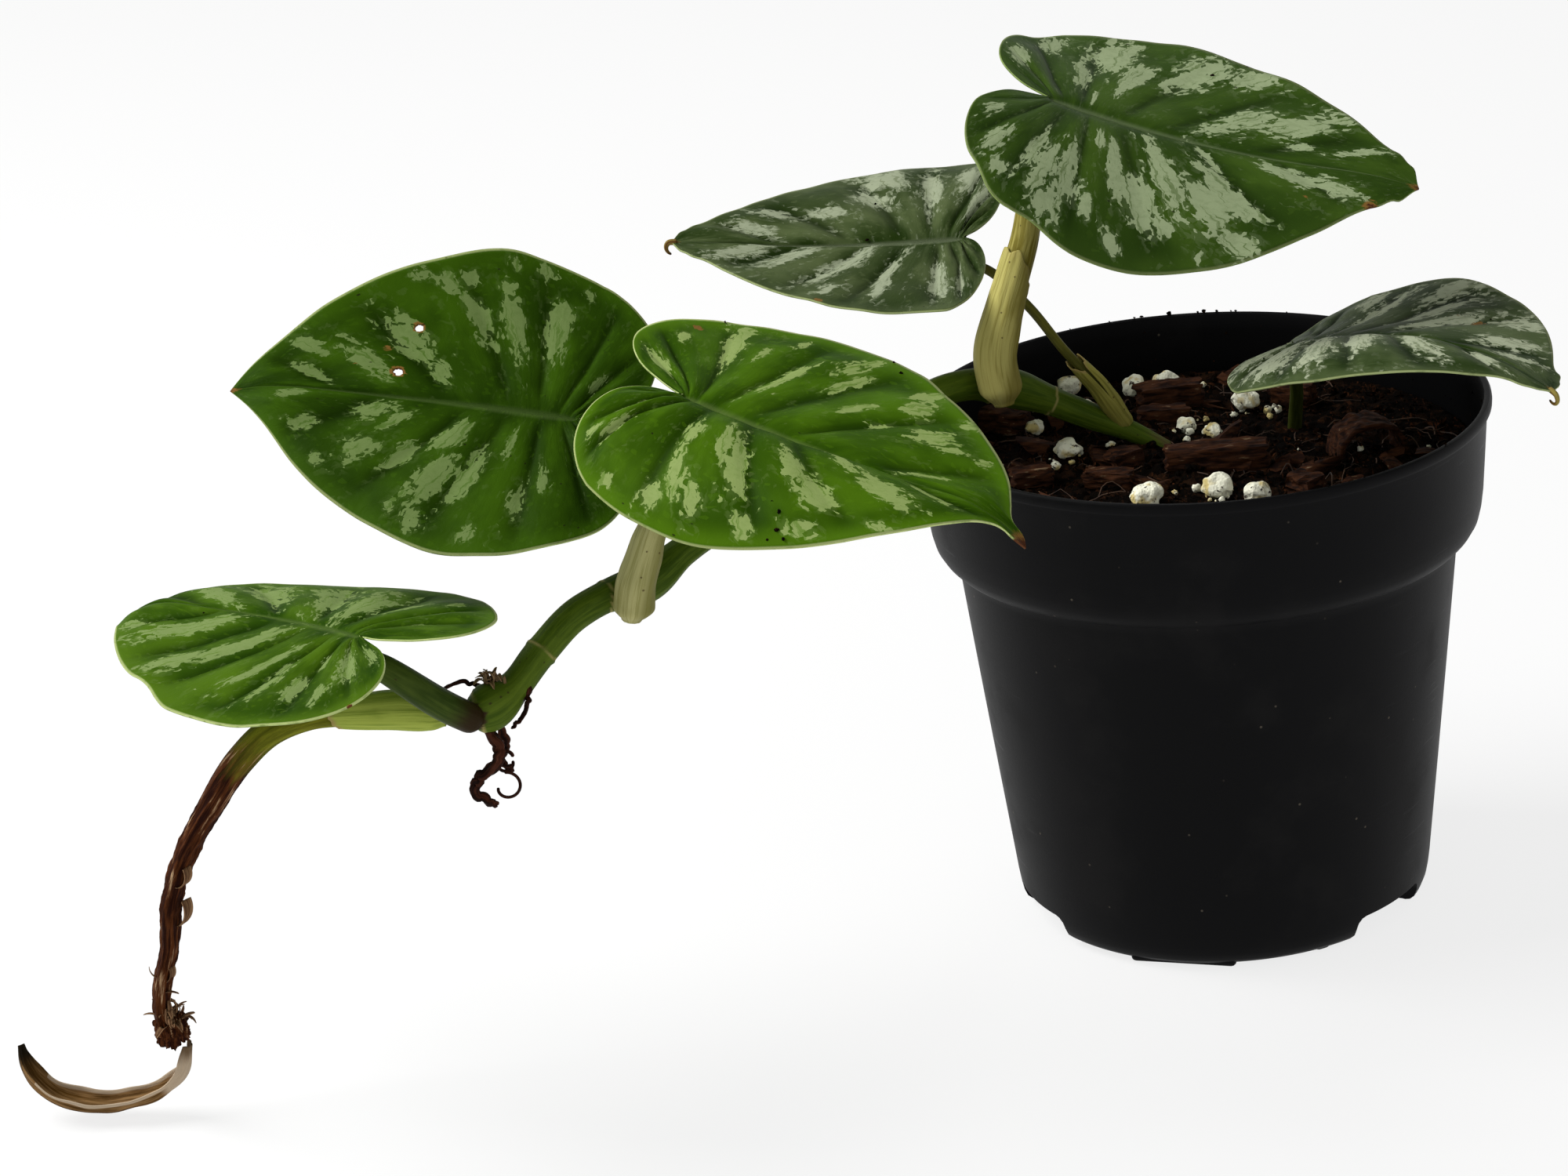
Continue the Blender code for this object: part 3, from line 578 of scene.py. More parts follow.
def makeCrumbs(finish):
    chance = random.Random(11)
    models = [crumb(chance, (1, chance.uniform(0.5, 0.9), chance.uniform(0.4, 0.8))) for _ in range(9)]
    spots = []
    for _ in range(mix["crumbs"]):
        size = 0.7 + 2.6 * chance.random() ** 3
        x, y, z = onMix(chance)
        spots.append(((x, y, z + size * 0.12), anyTurn(chance), size))
    for angle, size in mix["onRim"]:
        size *= mix["rimGrain"]
        place = onRing(math.radians(angle), mix["rimRadius"], mix["rimTop"] + size * 0.25)
        spots.append((place, anyTurn(chance), size))
    for _ in range(mix["onWall"]):
        turn, height = chance.uniform(0, math.tau), 106 + 9 * chance.random() ** 2
        out = mix["wallRadius"] + (height - mix["wallFoot"]) * mix["wallSlope"]
        spots.append((onRing(turn, out, height), anyTurn(chance), chance.uniform(0.4, 1.1)))
    keep(scattered("mix_crumbs", models, spots), "mix_crumbs", "potting_mix", finishes=[finish], angle=30)


def makeFibres():
    made, wire, shader = newFinish("coirFibre")
    tone = wire.ramp(wire.clouds(wire.here(), 3 * mm, 3.0), (0.3, mix["coir"]), (0.7, mix["coirLight"]))
    wear(shader, Base_Color=tone, Roughness=0.85)
    chance = random.Random(23)
    strands = []
    for index in range(mix["fibres"]):
        x, y, _ = onMix(chance, 0.93)
        turn, length = chance.uniform(0, math.tau), chance.uniform(3, 11)
        ahead = np.array([math.cos(turn), math.sin(turn)])
        beside = np.array([-ahead[1], ahead[0]]) * chance.uniform(-0.35, 0.35)
        rise = chance.uniform(0.2, 1.0 if index % 5 else 3.2)
        bpy.ops.curve.primitive_nurbs_path_add()
        curve = bpy.context.object
        curve.data.splines.clear()
        spline = curve.data.splines.new("POLY")
        spline.points.add(5)
        for step, point in enumerate(spline.points):
            share = step / 5
            arch = math.sin(share * math.pi)
            spot = np.array([x, y]) + (ahead * (share - 0.5) + beside * arch) * length
            spot *= min(1, mix["fibreReach"] / np.hypot(*spot))
            point.co = (*(Vector((*spot, mixHeight(*spot) + rise * arch)) * mm), 1.0)
        curve.data.bevel_depth = chance.uniform(0.09, 0.22) * mm
        curve.data.bevel_resolution = 0
        strands.append(curve)
    pick(*strands)
    bpy.ops.object.convert(target="MESH")
    keep(gather("mix_fibres", strands), "mix_fibres", "potting_mix", finishes=[made])


mixFinish = darkMix()
makeMix(mixFinish)
makeCrumbs(mixFinish)
makeFibres()
print("potting mix made")


# perlite
perlite = {
    "white": (0.86, 0.85, 0.68), "cream": (0.62, 0.50, 0.20), "soiled": (0.035, 0.022, 0.012),
    "pore": (0.25, 0.20, 0.12), "dents": 0.16, "small": 85, "farthest": 58,
    "heaps": ((-23, 44, 11), (-6, 30, 9), (-28, 6, 7), (2, 44, 8), (14, 27, 6), (-2, 13, 7), (-4, -29, 9)),
}


def whiteGrain():
    made, wire, shader = newFinish("perliteGrain")
    here = wire.here()
    patch = wire.clouds(here, 4 * mm, 2.0)
    pores = wire.between(wire.cells(here, 0.8 * mm), 0.30, 0.12)
    pores = pores * wire.between(wire.clouds(here, 3 * mm), 0.40, 0.6)
    soil = wire.between(wire.clouds(here, 1.5 * mm, 4.0), 0.60, 0.66)
    tone = wire.mixed(wire.between(patch, 0.48, 0.64), perlite["white"], perlite["cream"])
    tone = wire.mixed(pores * 0.55, tone, perlite["pore"])
    tone = wire.mixed(soil, tone, perlite["soiled"])
    wear(shader, Base_Color=tone, Roughness=0.9, Normal=wire.bump(wire.cells(here, 0.7 * mm), 0.25 * mm, 0.8))
    return made


def roughGrain(size, seed):
    piece, places = newBall(size / 2, 4)
    broad = wobble(places, size * 0.55, seed, 2) * 0.30
    shift = Vector((seed, seed, 0))
    dents = np.array([noise.voronoi(Vector(place) / (size * 0.30 * mm) + shift)[0][0] for place in places])
    movePoints(piece, places * (0.92 + broad + perlite["dents"] * dents)[:, None] * (1.0, 0.88, 0.8))
    return piece


def makePerlite():
    finish = whiteGrain()
    chance = random.Random(31)
    for name in sorted(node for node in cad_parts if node.startswith("perlite")):
        low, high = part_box(name)
        piece = roughGrain(max(high - low) / mm * 1.02, chance.uniform(0, 50))
        turn = Matrix.Rotation(chance.uniform(0, math.tau), 4, "Z")
        turn = turn @ Matrix.Rotation(chance.uniform(-0.5, 0.5), 4, "X")
        piece.data.transform(Matrix.Translation((low + high) / 2 - Vector((0, 0, 0.6 * mm))) @ turn)
        keep(piece, name.replace("perlite", "perlite_grain"), "perlite", name, finishes=[finish])
    models = [crumb(chance, (1, 0.85, 0.8), 2) for _ in range(6)]
    spots = []
    for index in range(perlite["small"]):
        x, y, spread = perlite["heaps"][index % len(perlite["heaps"])]
        if index % 3 == 0:
            x, y, _ = onMix(chance, 0.9)
            spread = 1
        x, y = x + chance.gauss(0, spread / 2), y + chance.gauss(0, spread / 2)
        size = 0.6 + 1.9 * chance.random() ** 2
        if math.hypot(x, y) < perlite["farthest"]:
            spots.append(((x, y, mixHeight(x, y) + size * 0.3), anyTurn(chance), size))
    keep(scattered("perlite_dust", models, spots), "perlite_dust", "perlite", finishes=[finish])


makePerlite()
print("perlite made")


# bark
bark = {
    "red": (0.052, 0.019, 0.008), "dark": (0.009, 0.004, 0.003), "pale": (0.24, 0.17, 0.10), "layers": 0.9,
    "stain": (0.030, 0.012, 0.007), "turns": (8, -6, -4, 30, -20, 60, 15, -35, 40), "loose": 26,
    "curlRadius": 7.4, "curlHalf": 4.6, "curlWall": 1.1, "curlTurn": 12,
}


def pineBark():
    made, wire, shader = newFinish("pineBark", 0.05)
    here = wire.here()
    layers = wire.clouds(wire.scaled(here, (0.16, 0.5, 1.0)), 0.9 * mm, 4.0)
    blotch = wire.clouds(here, 5 * mm, 3.0)
    flakes = wire.between(wire.cells(wire.scaled(here, (0.4, 0.7, 1.0)), 1.6 * mm), 0.2, 0.6)
    tone = wire.mixed(wire.between(layers, 0.35, 0.62), bark["dark"], bark["red"])
    tone = wire.mixed(wire.between(blotch, 0.5, 0.7) * 0.6, tone, bark["stain"])
    tone = wire.mixed(wire.between(layers, 0.64, 0.72) * 0.6, tone, bark["pale"])
    wear(shader, Base_Color=tone, Roughness=0.8, Normal=wire.bump(layers + flakes * 0.4, 0.5 * mm, 0.9))
    return made


def barkBlock(size, seed, fine=5):  # a split block with stepped layers along its length; size in mm
    bpy.ops.mesh.primitive_cube_add(size=1.0)
    piece = bpy.context.object
    openMesh(piece)
    bpy.ops.mesh.subdivide(number_cuts=fine * 2)
    bpy.ops.transform.resize(value=[side * mm for side in size], center_override=(0, 0, 0))
    closeMesh()
    places = pointsOf(piece)
    share = places / (np.array(size) * mm)
    places[:, 1] *= 1 - 0.35 * np.abs(share[:, 0]) ** 1.5 - 0.18 * np.abs(share[:, 2])
    places[:, 2] *= 1 - 0.45 * np.abs(share[:, 0]) ** 2
    steps = np.round(share[:, 2] * 4) / 4
    ledge = roughAt(seed + steps * 5, places[:, 1] / (3 * mm), 0) * bark["layers"] * 1.4 * mm
    places[:, 0] += ledge * np.sign(share[:, 0]) * ease(np.abs(share[:, 0]), 0.25, 0.5)
    places += pointsOf(piece, "normal") * (wobble(places * (0.5, 1, 1), 2.2, seed) * 0.55 * mm)[:, None]
    movePoints(piece, places)
    return piece


def makeBark():
    finish = pineBark()
    chance = random.Random(41)
    for number, turn in enumerate(bark["turns"], 1):
        name = f"bark_{number:02d}"
        low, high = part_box(name)
        wide, deep, tall = (high - low) / mm
        turn = math.radians(turn)
        c, s = abs(math.cos(turn)), abs(math.sin(turn))
        length = max((wide * c - deep * s) / max(c * c - s * s, 0.35), 6.0)
        across = max((deep - length * s) / max(c, 0.4), 4.5)
        piece = barkBlock((min(length, wide * 1.1), across * 1.25, tall * 1.1), number * 3.3)
        middle = (low + high) / 2 - Vector((0, 0, 0.5 * mm))
        piece.data.transform(Matrix.Translation(middle) @ Matrix.Rotation(turn, 4, "Z"))
        keep(piece, name.replace("bark", "bark_chip"), "bark", name, finishes=[finish], angle=50)
    low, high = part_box("bark_curl")
    curl, across, share = newSheet(64, 20)
    turn, level = (across * 0.5 + 0.5) * math.pi, share * 2 - 1
    ragged = 1 + 0.16 * roughAt(turn * 2.4, 3.0, 0)
    radius = bark["curlRadius"] * (1 + 0.05 * np.sin(turn * 3)) + 0.5 * roughAt(turn * 4, level * 2, 7.0)
    width = level * bark["curlHalf"] * ragged
    movePoints(curl, np.column_stack([radius * np.cos(turn), width, radius * np.sin(turn) * 1.1]) * mm)
    change(curl, "SOLIDIFY", thickness=bark["curlWall"] * mm, offset=0.0)
    middle = (low + high) / 2
    middle.z = low.z - 0.4 * mm
    curl.data.transform(Matrix.Translation(middle) @ Matrix.Rotation(math.radians(bark["curlTurn"]), 4, "Z"))
    keep(curl, "bark_arch", "bark", "bark_curl", finishes=[finish])
    models = [barkBlock((1.0, 0.5, 0.32), index * 7.7, 1) for index in range(5)]
    spots = []
    for _ in range(bark["loose"]):
        x, y, z = onMix(chance, 0.9)
        tilt = Vector((chance.gauss(0, 0.4), chance.gauss(0, 0.4), 1)).to_track_quat("Z", "Y")
        spin = Matrix.Rotation(chance.uniform(0, math.tau), 3, "Z").to_quaternion()
        spots.append(((x, y, z + 0.4), tilt @ spin, chance.uniform(3, 8)))
    keep(scattered("bark_splinters", models, spots), "bark_splinters", "bark", finishes=[finish], angle=50)


makeBark()
print("bark made")


# leaves
# at is where the petiole joins (mm); then heading, pitch, roll, midrib length and half widths, how the midrib
# bends, swings and twists, each half's fold and curl, the lobes, the fullness and the drop of the tip.
# silver: which half (1 left, -1 right), how far down the half, how far out from the midrib, and its reaches.
# on the top, upper_left and right leaves the pale silver tone, the greyer light tone and the soft patch edges
# are partly the silver markings and partly a painted sheen
leaves = {
    "top": {
        "at": (-28.4, 12.0, 186.5), "heading": -10.5, "pitch": -23.0, "roll": 2.5, "length": 84.0,
        "left": 38.0, "right": 44.5, "bend": -19.5, "swing": -9.5, "twist": 24.5, "fold": (3.5, -2.5),
        "curl": (1.5, -32.0), "droop": -5.0, "lobes": (0.57, 0.66), "belly": 0.01, "tip": 18.0,
        "quilt": 0.45, "seed": 1.0, "margin": 0.25, "green": (0.016, 0.038, 0.003),
        "light": (0.045, 0.088, 0.009), "silverTone": (0.250, 0.305, 0.165), "gloss": 0.050, "soft": 0.0,
        "trims": (
            (1, 0.935, 0.035, 0.40), (-1, 0.935, 0.035, 0.26), (1, 0.975, 0.020, 0.95),
            (-1, 0.975, 0.018, 0.9), (1, 0.42, 0.05, -0.10), (1, 0.60, 0.05, 0.03),
            (-1, 0.40, 0.035, -0.05), (-1, 0.82, 0.08, -0.04), (-1, 0.52, 0.03, -0.05),
        ),
        "silver": (
            (1, .45, .85, .035, .12), (1, .545, .74, .035, .22), (1, .50, .45, .022, .2),
            (1, .595, .50, .022, .22), (1, .655, .72, .030, .25), (1, .70, .92, .025, .15),
            (1, .775, .42, .022, .35), (1, .815, .68, .028, .32), (1, .865, .45, .010, .10),
            (1, .905, .75, .016, .25), (1, .55, .17, .008, .10), (1, .30, .75, .05, .15),
            (-1, .27, .75, .030, .12), (-1, .375, .75, .028, .17), (-1, .465, .52, .016, .22),
            (-1, .50, .62, .018, .22), (-1, .540, .52, .022, .27), (-1, .525, .84, .026, .12),
            (-1, .58, .72, .012, .10), (-1, .60, .22, .010, .10), (-1, .625, .42, .018, .20),
            (-1, .660, .62, .026, .20), (-1, .705, .40, .020, .36), (-1, .735, .64, .022, .25),
            (-1, .770, .58, .018, .28), (-1, .68, .76, .010, .05), (-1, .745, .90, .022, .09),
            (-1, .61, .87, .012, .08), (-1, .870, .40, .022, .25), (-1, .900, .66, .024, .26),
            (-1, .785, .16, .006, .16), (-1, .43, .85, .02, .08),
        ),
        "stains": ((-1, .905, .98, 1.6), (-1, .845, .72, 0.8)), "holes": (),
        "dirt": ((1, .60, .28, 0.8), (1, .665, .80, 1.0)),
    },
    "upper_left": {
        "at": (-48.5, 30.0, 150.3), "heading": 169.5, "pitch": -3.5, "roll": -14.5, "length": 66.5,
        "left": 38.5, "right": 38.0, "bend": -16.0, "swing": 8.0, "twist": 5.5, "fold": (0.5, 7.0),
        "curl": (13.5, -23.0), "droop": -1.0, "lobes": (0.35, 0.40), "belly": -0.01, "tip": 5.5,
        "quilt": 0.9, "seed": 2.0, "margin": 0.25, "green": (0.011, 0.025, 0.002),
        "light": (0.090, 0.118, 0.046), "silverTone": (0.275, 0.310, 0.205), "gloss": 0.020, "soft": 0.20,
        "trims": (
            (-1, 0.80, 0.05, -0.10), (1, 0.45, 0.06, 0.05), (-1, 0.94, 0.035, 0.30), (1, 0.94, 0.035, 0.35),
            (1, 0.975, 0.018, 0.7), (-1, 0.975, 0.018, 0.7),
        ),
        "silver": (
            (-1, .62, .80, .035, .20), (-1, .55, .60, .028, .30), (-1, .665, .60, .026, .16),
            (-1, .75, .55, .022, .12), (-1, .80, .72, .018, .15), (-1, .87, .55, .020, .25),
            (-1, .47, .72, .03, .2), (-1, .36, .50, .04, .3), (1, .90, .50, .024, .40),
            (1, .83, .40, .026, .40), (1, .735, .35, .022, .40), (1, .635, .42, .018, .3),
            (1, .70, .80, .012, .10), (1, .62, .66, .014, .12), (1, .50, .52, .026, .25),
            (1, .42, .62, .022, .2),
        ),
        "stains": ((1, .685, .97, 1.2),), "holes": (),
        "dirt": ((-1, .745, .04, 1.0), (-1, .67, .5, 0.7), (-1, .69, .4, 0.5)),
    },
    "right": {
        "at": (20.6, -10.0, 131.9), "heading": -35.0, "pitch": 19.5, "roll": -14.5, "length": 69.0,
        "left": 41.5, "right": 29.0, "bend": 41.0, "swing": -7.0, "twist": -7.5, "fold": (5.0, -7.5),
        "curl": (19.0, -24.0), "droop": -5.0, "lobes": (0.40, 0.40), "belly": 0.01, "tip": 4.5,
        "quilt": 0.7, "seed": 3.0, "margin": 0.3, "green": (0.010, 0.024, 0.002),
        "light": (0.085, 0.115, 0.045), "silverTone": (0.340, 0.375, 0.255), "gloss": 0.012, "soft": 0.11,
        "trims": (
            (1, 0.48, 0.05, -0.07), (1, 0.94, 0.035, 0.50), (-1, 0.94, 0.035, 0.30), (1, 0.975, 0.018, 0.7),
            (-1, 0.975, 0.018, 0.5),
        ),
        "silver": (
            (1, .55, .50, .024, .4), (1, .615, .85, .024, .25), (1, .665, .60, .024, .3),
            (1, .725, .50, .020, .3), (1, .755, .90, .022, .16), (1, .835, .70, .022, .3),
            (1, .905, .60, .020, .3), (1, .50, .8, .02, .2), (-1, .33, .55, .10, .5),
            (-1, .50, .50, .06, .4), (-1, .61, .45, .035, .4), (-1, .70, .30, .030, .35),
            (-1, .80, .40, .020, .4), (-1, .90, .50, .020, .3),
        ),
        "stains": ((1, .745, .66, 1.5), (1, .71, .62, 0.9)), "holes": (),
        "dirt": (
            (-1, .60, .50, 0.8), (-1, .50, .55, 0.6), (1, .715, .62, 0.6), (1, .735, .75, 0.5),
            (-1, .42, .5, 0.6),
        ),
    },
    "far_left": {
        "at": (-135.9, -52.0, 143.4), "heading": 174.5, "pitch": 12.0, "roll": -12.0, "length": 75.0,
        "left": 39.0, "right": 40.5, "bend": 6.5, "swing": -3.0, "twist": -20.0, "fold": (-11.0, 10.5),
        "curl": (-3.5, 11.0), "droop": -3.5, "lobes": (0.65, 0.69), "belly": 0.06, "tip": 21.0,
        "quilt": 0.75, "seed": 4.0, "margin": 0.5, "green": (0.010, 0.028, 0.001),
        "light": (0.037, 0.090, 0.003), "silverTone": (0.118, 0.172, 0.052), "gloss": 0.010, "soft": 0.0,
        "trims": ((1, 0.72, 0.06, -0.02), (-1, 0.70, 0.05, -0.02)),
        "silver": (
            (-1, .755, .28, .014, .12), (-1, .765, .58, .020, .20), (-1, .685, .86, .014, .07),
            (-1, .705, .93, .012, .05), (-1, .650, .86, .014, .06), (-1, .660, .60, .020, .18),
            (-1, .615, .56, .020, .26), (-1, .535, .58, .026, .26), (-1, .36, .38, .022, .12),
            (-1, .835, .48, .018, .25), (-1, .865, .80, .016, .18), (-1, .905, .45, .012, .28),
            (-1, .56, .92, .008, .06), (-1, .60, .92, .008, .06), (-1, .50, .9, .008, .05),
            (1, .935, .35, .012, .25), (1, .840, .27, .022, .17), (1, .800, .32, .010, .15),
            (1, .870, .72, .014, .14), (1, .785, .64, .020, .16), (1, .745, .55, .012, .12),
            (1, .715, .28, .020, .16), (1, .685, .60, .022, .20), (1, .645, .50, .020, .22),
            (1, .600, .24, .010, .12), (1, .545, .66, .016, .14), (1, .500, .52, .012, .10),
            (1, .66, .88, .014, .06), (1, .59, .88, .012, .05), (1, .80, .88, .010, .05),
            (1, .70, .86, .010, .05),
        ),
        "stains": ((-1, .795, .55, 0.9), (-1, .855, .46, 0.7)),
        "holes": ((-1, .814, .31, 1.15), (-1, .744, .62, 0.95)), "dirt": (),
    },
    "middle": {
        "at": (-113.3, -72.0, 153.7), "heading": -38.5, "pitch": -12.5, "roll": -10.5, "length": 84.5,
        "left": 43.5, "right": 35.5, "bend": -2.0, "swing": 10.5, "twist": 0.0, "fold": (11.0, 6.5),
        "curl": (-2.0, -75.5), "droop": -12.5, "lobes": (1.05, 0.41), "belly": 0.07, "tip": 43.0,
        "quilt": 0.95, "seed": 5.0, "margin": 0.75, "green": (0.016, 0.046, 0.001),
        "light": (0.064, 0.145, 0.004), "silverTone": (0.215, 0.285, 0.090), "gloss": 0.010, "soft": 0.0,
        "trims": (
            (1, 0.33, 0.05, -0.06), (1, 0.42, 0.04, -0.03), (-1, 0.925, 0.045, -0.55),
            (1, 0.935, 0.045, -0.58), (-1, 0.30, 0.05, -0.04),
        ),
        "silver": (
            (1, .22, .62, .030, .20), (1, .335, .78, .014, .07), (1, .425, .72, .020, .28),
            (1, .475, .62, .010, .10), (1, .505, .85, .010, .06), (1, .555, .45, .014, .30),
            (1, .595, .82, .014, .16), (1, .628, .66, .010, .13), (1, .570, .30, .006, .06),
            (1, .700, .52, .012, .10), (1, .715, .78, .014, .08), (1, .745, .52, .010, .06),
            (1, .780, .72, .018, .13), (1, .812, .76, .009, .08), (1, .752, .97, .009, .06),
            (1, .690, .92, .010, .12), (1, .880, .32, .010, .22), (1, .83, .90, .006, .05),
            (-1, .365, .42, .014, .20), (-1, .430, .64, .022, .16), (-1, .395, .82, .014, .07),
            (-1, .575, .38, .018, .12), (-1, .580, .62, .016, .20), (-1, .560, .82, .018, .10),
            (-1, .612, .78, .012, .10), (-1, .640, .32, .014, .24), (-1, .665, .52, .020, .24),
            (-1, .735, .45, .014, .18), (-1, .748, .68, .022, .16), (-1, .722, .90, .016, .07),
            (-1, .665, .88, .012, .08), (-1, .812, .26, .014, .22), (-1, .828, .60, .024, .28),
            (-1, .885, .55, .010, .32), (-1, .780, .95, .008, .05), (-1, .50, .90, .008, .05),
        ),
        "stains": ((1, .365, .90, 1.2), (-1, .995, .5, 3.0)), "holes": (),
        "dirt": (
            (-1, .707, .80, 1.5), (-1, .703, .74, 1.2), (-1, .700, .90, 1.3), (-1, .703, .95, 1.0),
            (-1, .688, .95, 0.8), (1, .63, .93, 1.0), (1, .605, .99, 0.8), (1, .40, .985, 0.7),
        ),
    },
    "low_left": {
        "at": (-183.0, -95.0, 115.5), "heading": 124.0, "pitch": -7.0, "roll": 8.5, "length": 91.0,
        "left": 38.0, "right": 31.0, "bend": 3.5, "swing": 15.5, "twist": 5.0, "fold": (-25.0, 12.0),
        "curl": (7.0, -13.0), "droop": 5.0, "lobes": (1.11, 0.80), "belly": -0.04, "tip": 56.5,
        "quilt": 0.95, "seed": 6.0, "margin": 0.6, "green": (0.012, 0.037, 0.001),
        "light": (0.064, 0.130, 0.006), "silverTone": (0.150, 0.210, 0.068), "gloss": 0.003, "soft": 0.02,
        "trims": ((1, 0.66, 0.05, -0.05), (1, 0.28, 0.02, -0.04)),
        "silver": (
            (1, .17, .60, .035, .22), (1, .30, .48, .035, .26), (1, .430, .60, .020, .14),
            (1, .490, .62, .018, .18), (1, .400, .34, .016, .12), (1, .565, .42, .014, .35),
            (1, .690, .38, .022, .38), (1, .710, .72, .018, .20), (1, .805, .50, .022, .40),
            (1, .860, .88, .022, .16), (1, .52, .40, .008, .10), (1, .36, .70, .012, .10),
            (-1, .600, .42, .035, .38), (-1, .680, .50, .030, .38), (-1, .765, .60, .030, .34),
            (-1, .510, .50, .016, .20), (-1, .430, .62, .016, .20), (-1, .850, .50, .022, .40),
            (-1, .350, .50, .014, .10), (-1, .47, .8, .01, .08),
        ),
        "stains": ((1, .300, 1.0, 0.8),), "holes": (), "dirt": ((1, .86, .25, 0.5),),
    },
}
blade = {
    "outline": (
        (0.00, 0.00), (-0.12, 0.06), (-0.25, 0.24), (-0.28, 0.50), (-0.18, 0.80), (0.03, 0.98),
        (0.27, 1.00), (0.52, 0.82), (0.76, 0.49), (0.90, 0.20), (1.00, 0.00),
    ),
    "rows": 150, "columns": 34, "thickness": 0.42, "veins": 9.0, "sweep": 1.3, "stretch": (110.0, 40.0),
    "steps": 12, "ripple": 0.012, "relief": 1.35, "groove": 0.75, "swell": 0.5,
    "paleLine": (0.42, 0.47, 0.20), "scar": (0.16, 0.085, 0.020), "rot": (0.055, 0.018, 0.008),
    "dot": (0.010, 0.008, 0.004),
    "dryTip": ((0.25, 0.20, 0.05), (0.10, 0.045, 0.012), (0.045, 0.016, 0.006)),
    "backRib": (0.22, 0.28, 0.09), "paleEdge": (0.56, 0.60, 0.28), "scarredEdge": (0.10, 0.035, 0.012),
}
drips = {"upper_left": (150.0, 4.0, 0.75), "right": (200.0, 5.0, 0.65)}  # turn, length, radius
outline = smoothed(blade["outline"], 12)


def midribBend(leaf, part):
    tip = math.radians(leaf["tip"]) * np.maximum(0.0, part - 0.7) ** 2 / 0.09
    return np.where(part > 0, math.radians(leaf["bend"]) * part + tip, math.radians(leaf["droop"]) * part)


def midribWay(bend, turn):
    return np.stack([np.cos(bend) * np.cos(turn), np.cos(bend) * np.sin(turn), -np.sin(bend)], -1)


def bladePlaces(leaf, side, station, share):
    # side is 1 or -1, station runs from notch to tip, share from midrib to margin
    where = np.linspace(0, 1, len(outline))
    rimPart, rimAcross = (np.interp(station, where, outline[:, axis]) for axis in (0, 1))
    foot = 0.04 * station + 0.96 * station ** 4
    part = foot + (rimPart - foot) * share ** blade["sweep"]
    trim = np.ones_like(share)
    for half, place, width, amount in leaf["trims"]:
        trim += np.where(side == half, amount * np.exp(-((station - place) / width) ** 2), 0)
    ripple = roughAt(station * 16, side, leaf["seed"] * 9)
    trim += blade["ripple"] * ripple * np.minimum(1, (1 - station) * 12)
    first = side > 0
    middle = np.clip(part, 0, 1)
    across = rimAcross * share * (1 + leaf["belly"] * 4 * middle * (1 - middle)) * (1 + (trim - 1) * share)
    part = np.where(part < 0, part * np.where(first, *leaf["lobes"]), part)
    fold, curl = (np.radians(np.where(first, *leaf[key])) for key in ("fold", "curl"))
    half = np.where(first, leaf["left"], leaf["right"])
    swing = math.radians(leaf["swing"])
    out, up, spine = 0, 0, 0
    steps = blade["steps"]
    for step in (np.arange(steps) + 0.5) / steps:
        slope = fold + curl * across * step
        out, up = out + np.cos(slope) / steps, up + np.sin(slope) / steps
        spine = spine + midribWay(midribBend(leaf, part * step), swing * part * step)
    out, up = out * across * half * side, up * across * half
    spine = spine * (part * leaf["length"] / steps)[:, None]
    turn = swing * part
    tangent = midribWay(midribBend(leaf, part), turn)
    beside = np.stack([-np.sin(turn), np.cos(turn), 0 * turn], -1)
    normal = np.cross(tangent, beside)
    twist = (math.radians(leaf["twist"]) * np.maximum(part, 0))[:, None]
    leaning = beside * np.cos(twist) + normal * np.sin(twist)
    rising = normal * np.cos(twist) - beside * np.sin(twist)
    local = spine + leaning * out[:, None] + rising * up[:, None]
    heading, pitch, roll = (math.radians(leaf[key]) for key in ("heading", "pitch", "roll"))
    flat = math.cos(pitch)
    ahead = np.array([math.cos(heading) * flat, math.sin(heading) * flat, math.sin(pitch)])
    level = np.array([-math.sin(heading), math.cos(heading), 0.0])
    left = level * math.cos(roll) + np.cross(ahead, level) * math.sin(roll)
    face = np.cross(ahead, left)
    return (np.array(leaf["at"]) + [0, 0, lift] + local @ np.array([ahead, left, face])) * mm


def leafSpot(leaf, side, station, share):  # one place on a blade, and its normal
    stations, shares = station + np.array([0, 0.004, 0]), share + np.array([0, 0, 0.02])
    places = bladePlaces(leaf, np.full(3, float(side)), stations, shares)
    normal = np.cross(places[1] - places[0], places[2] - places[0])
    normal /= np.linalg.norm(normal)
    return Vector(places[0]), Vector(normal if normal[2] > 0 else -normal)


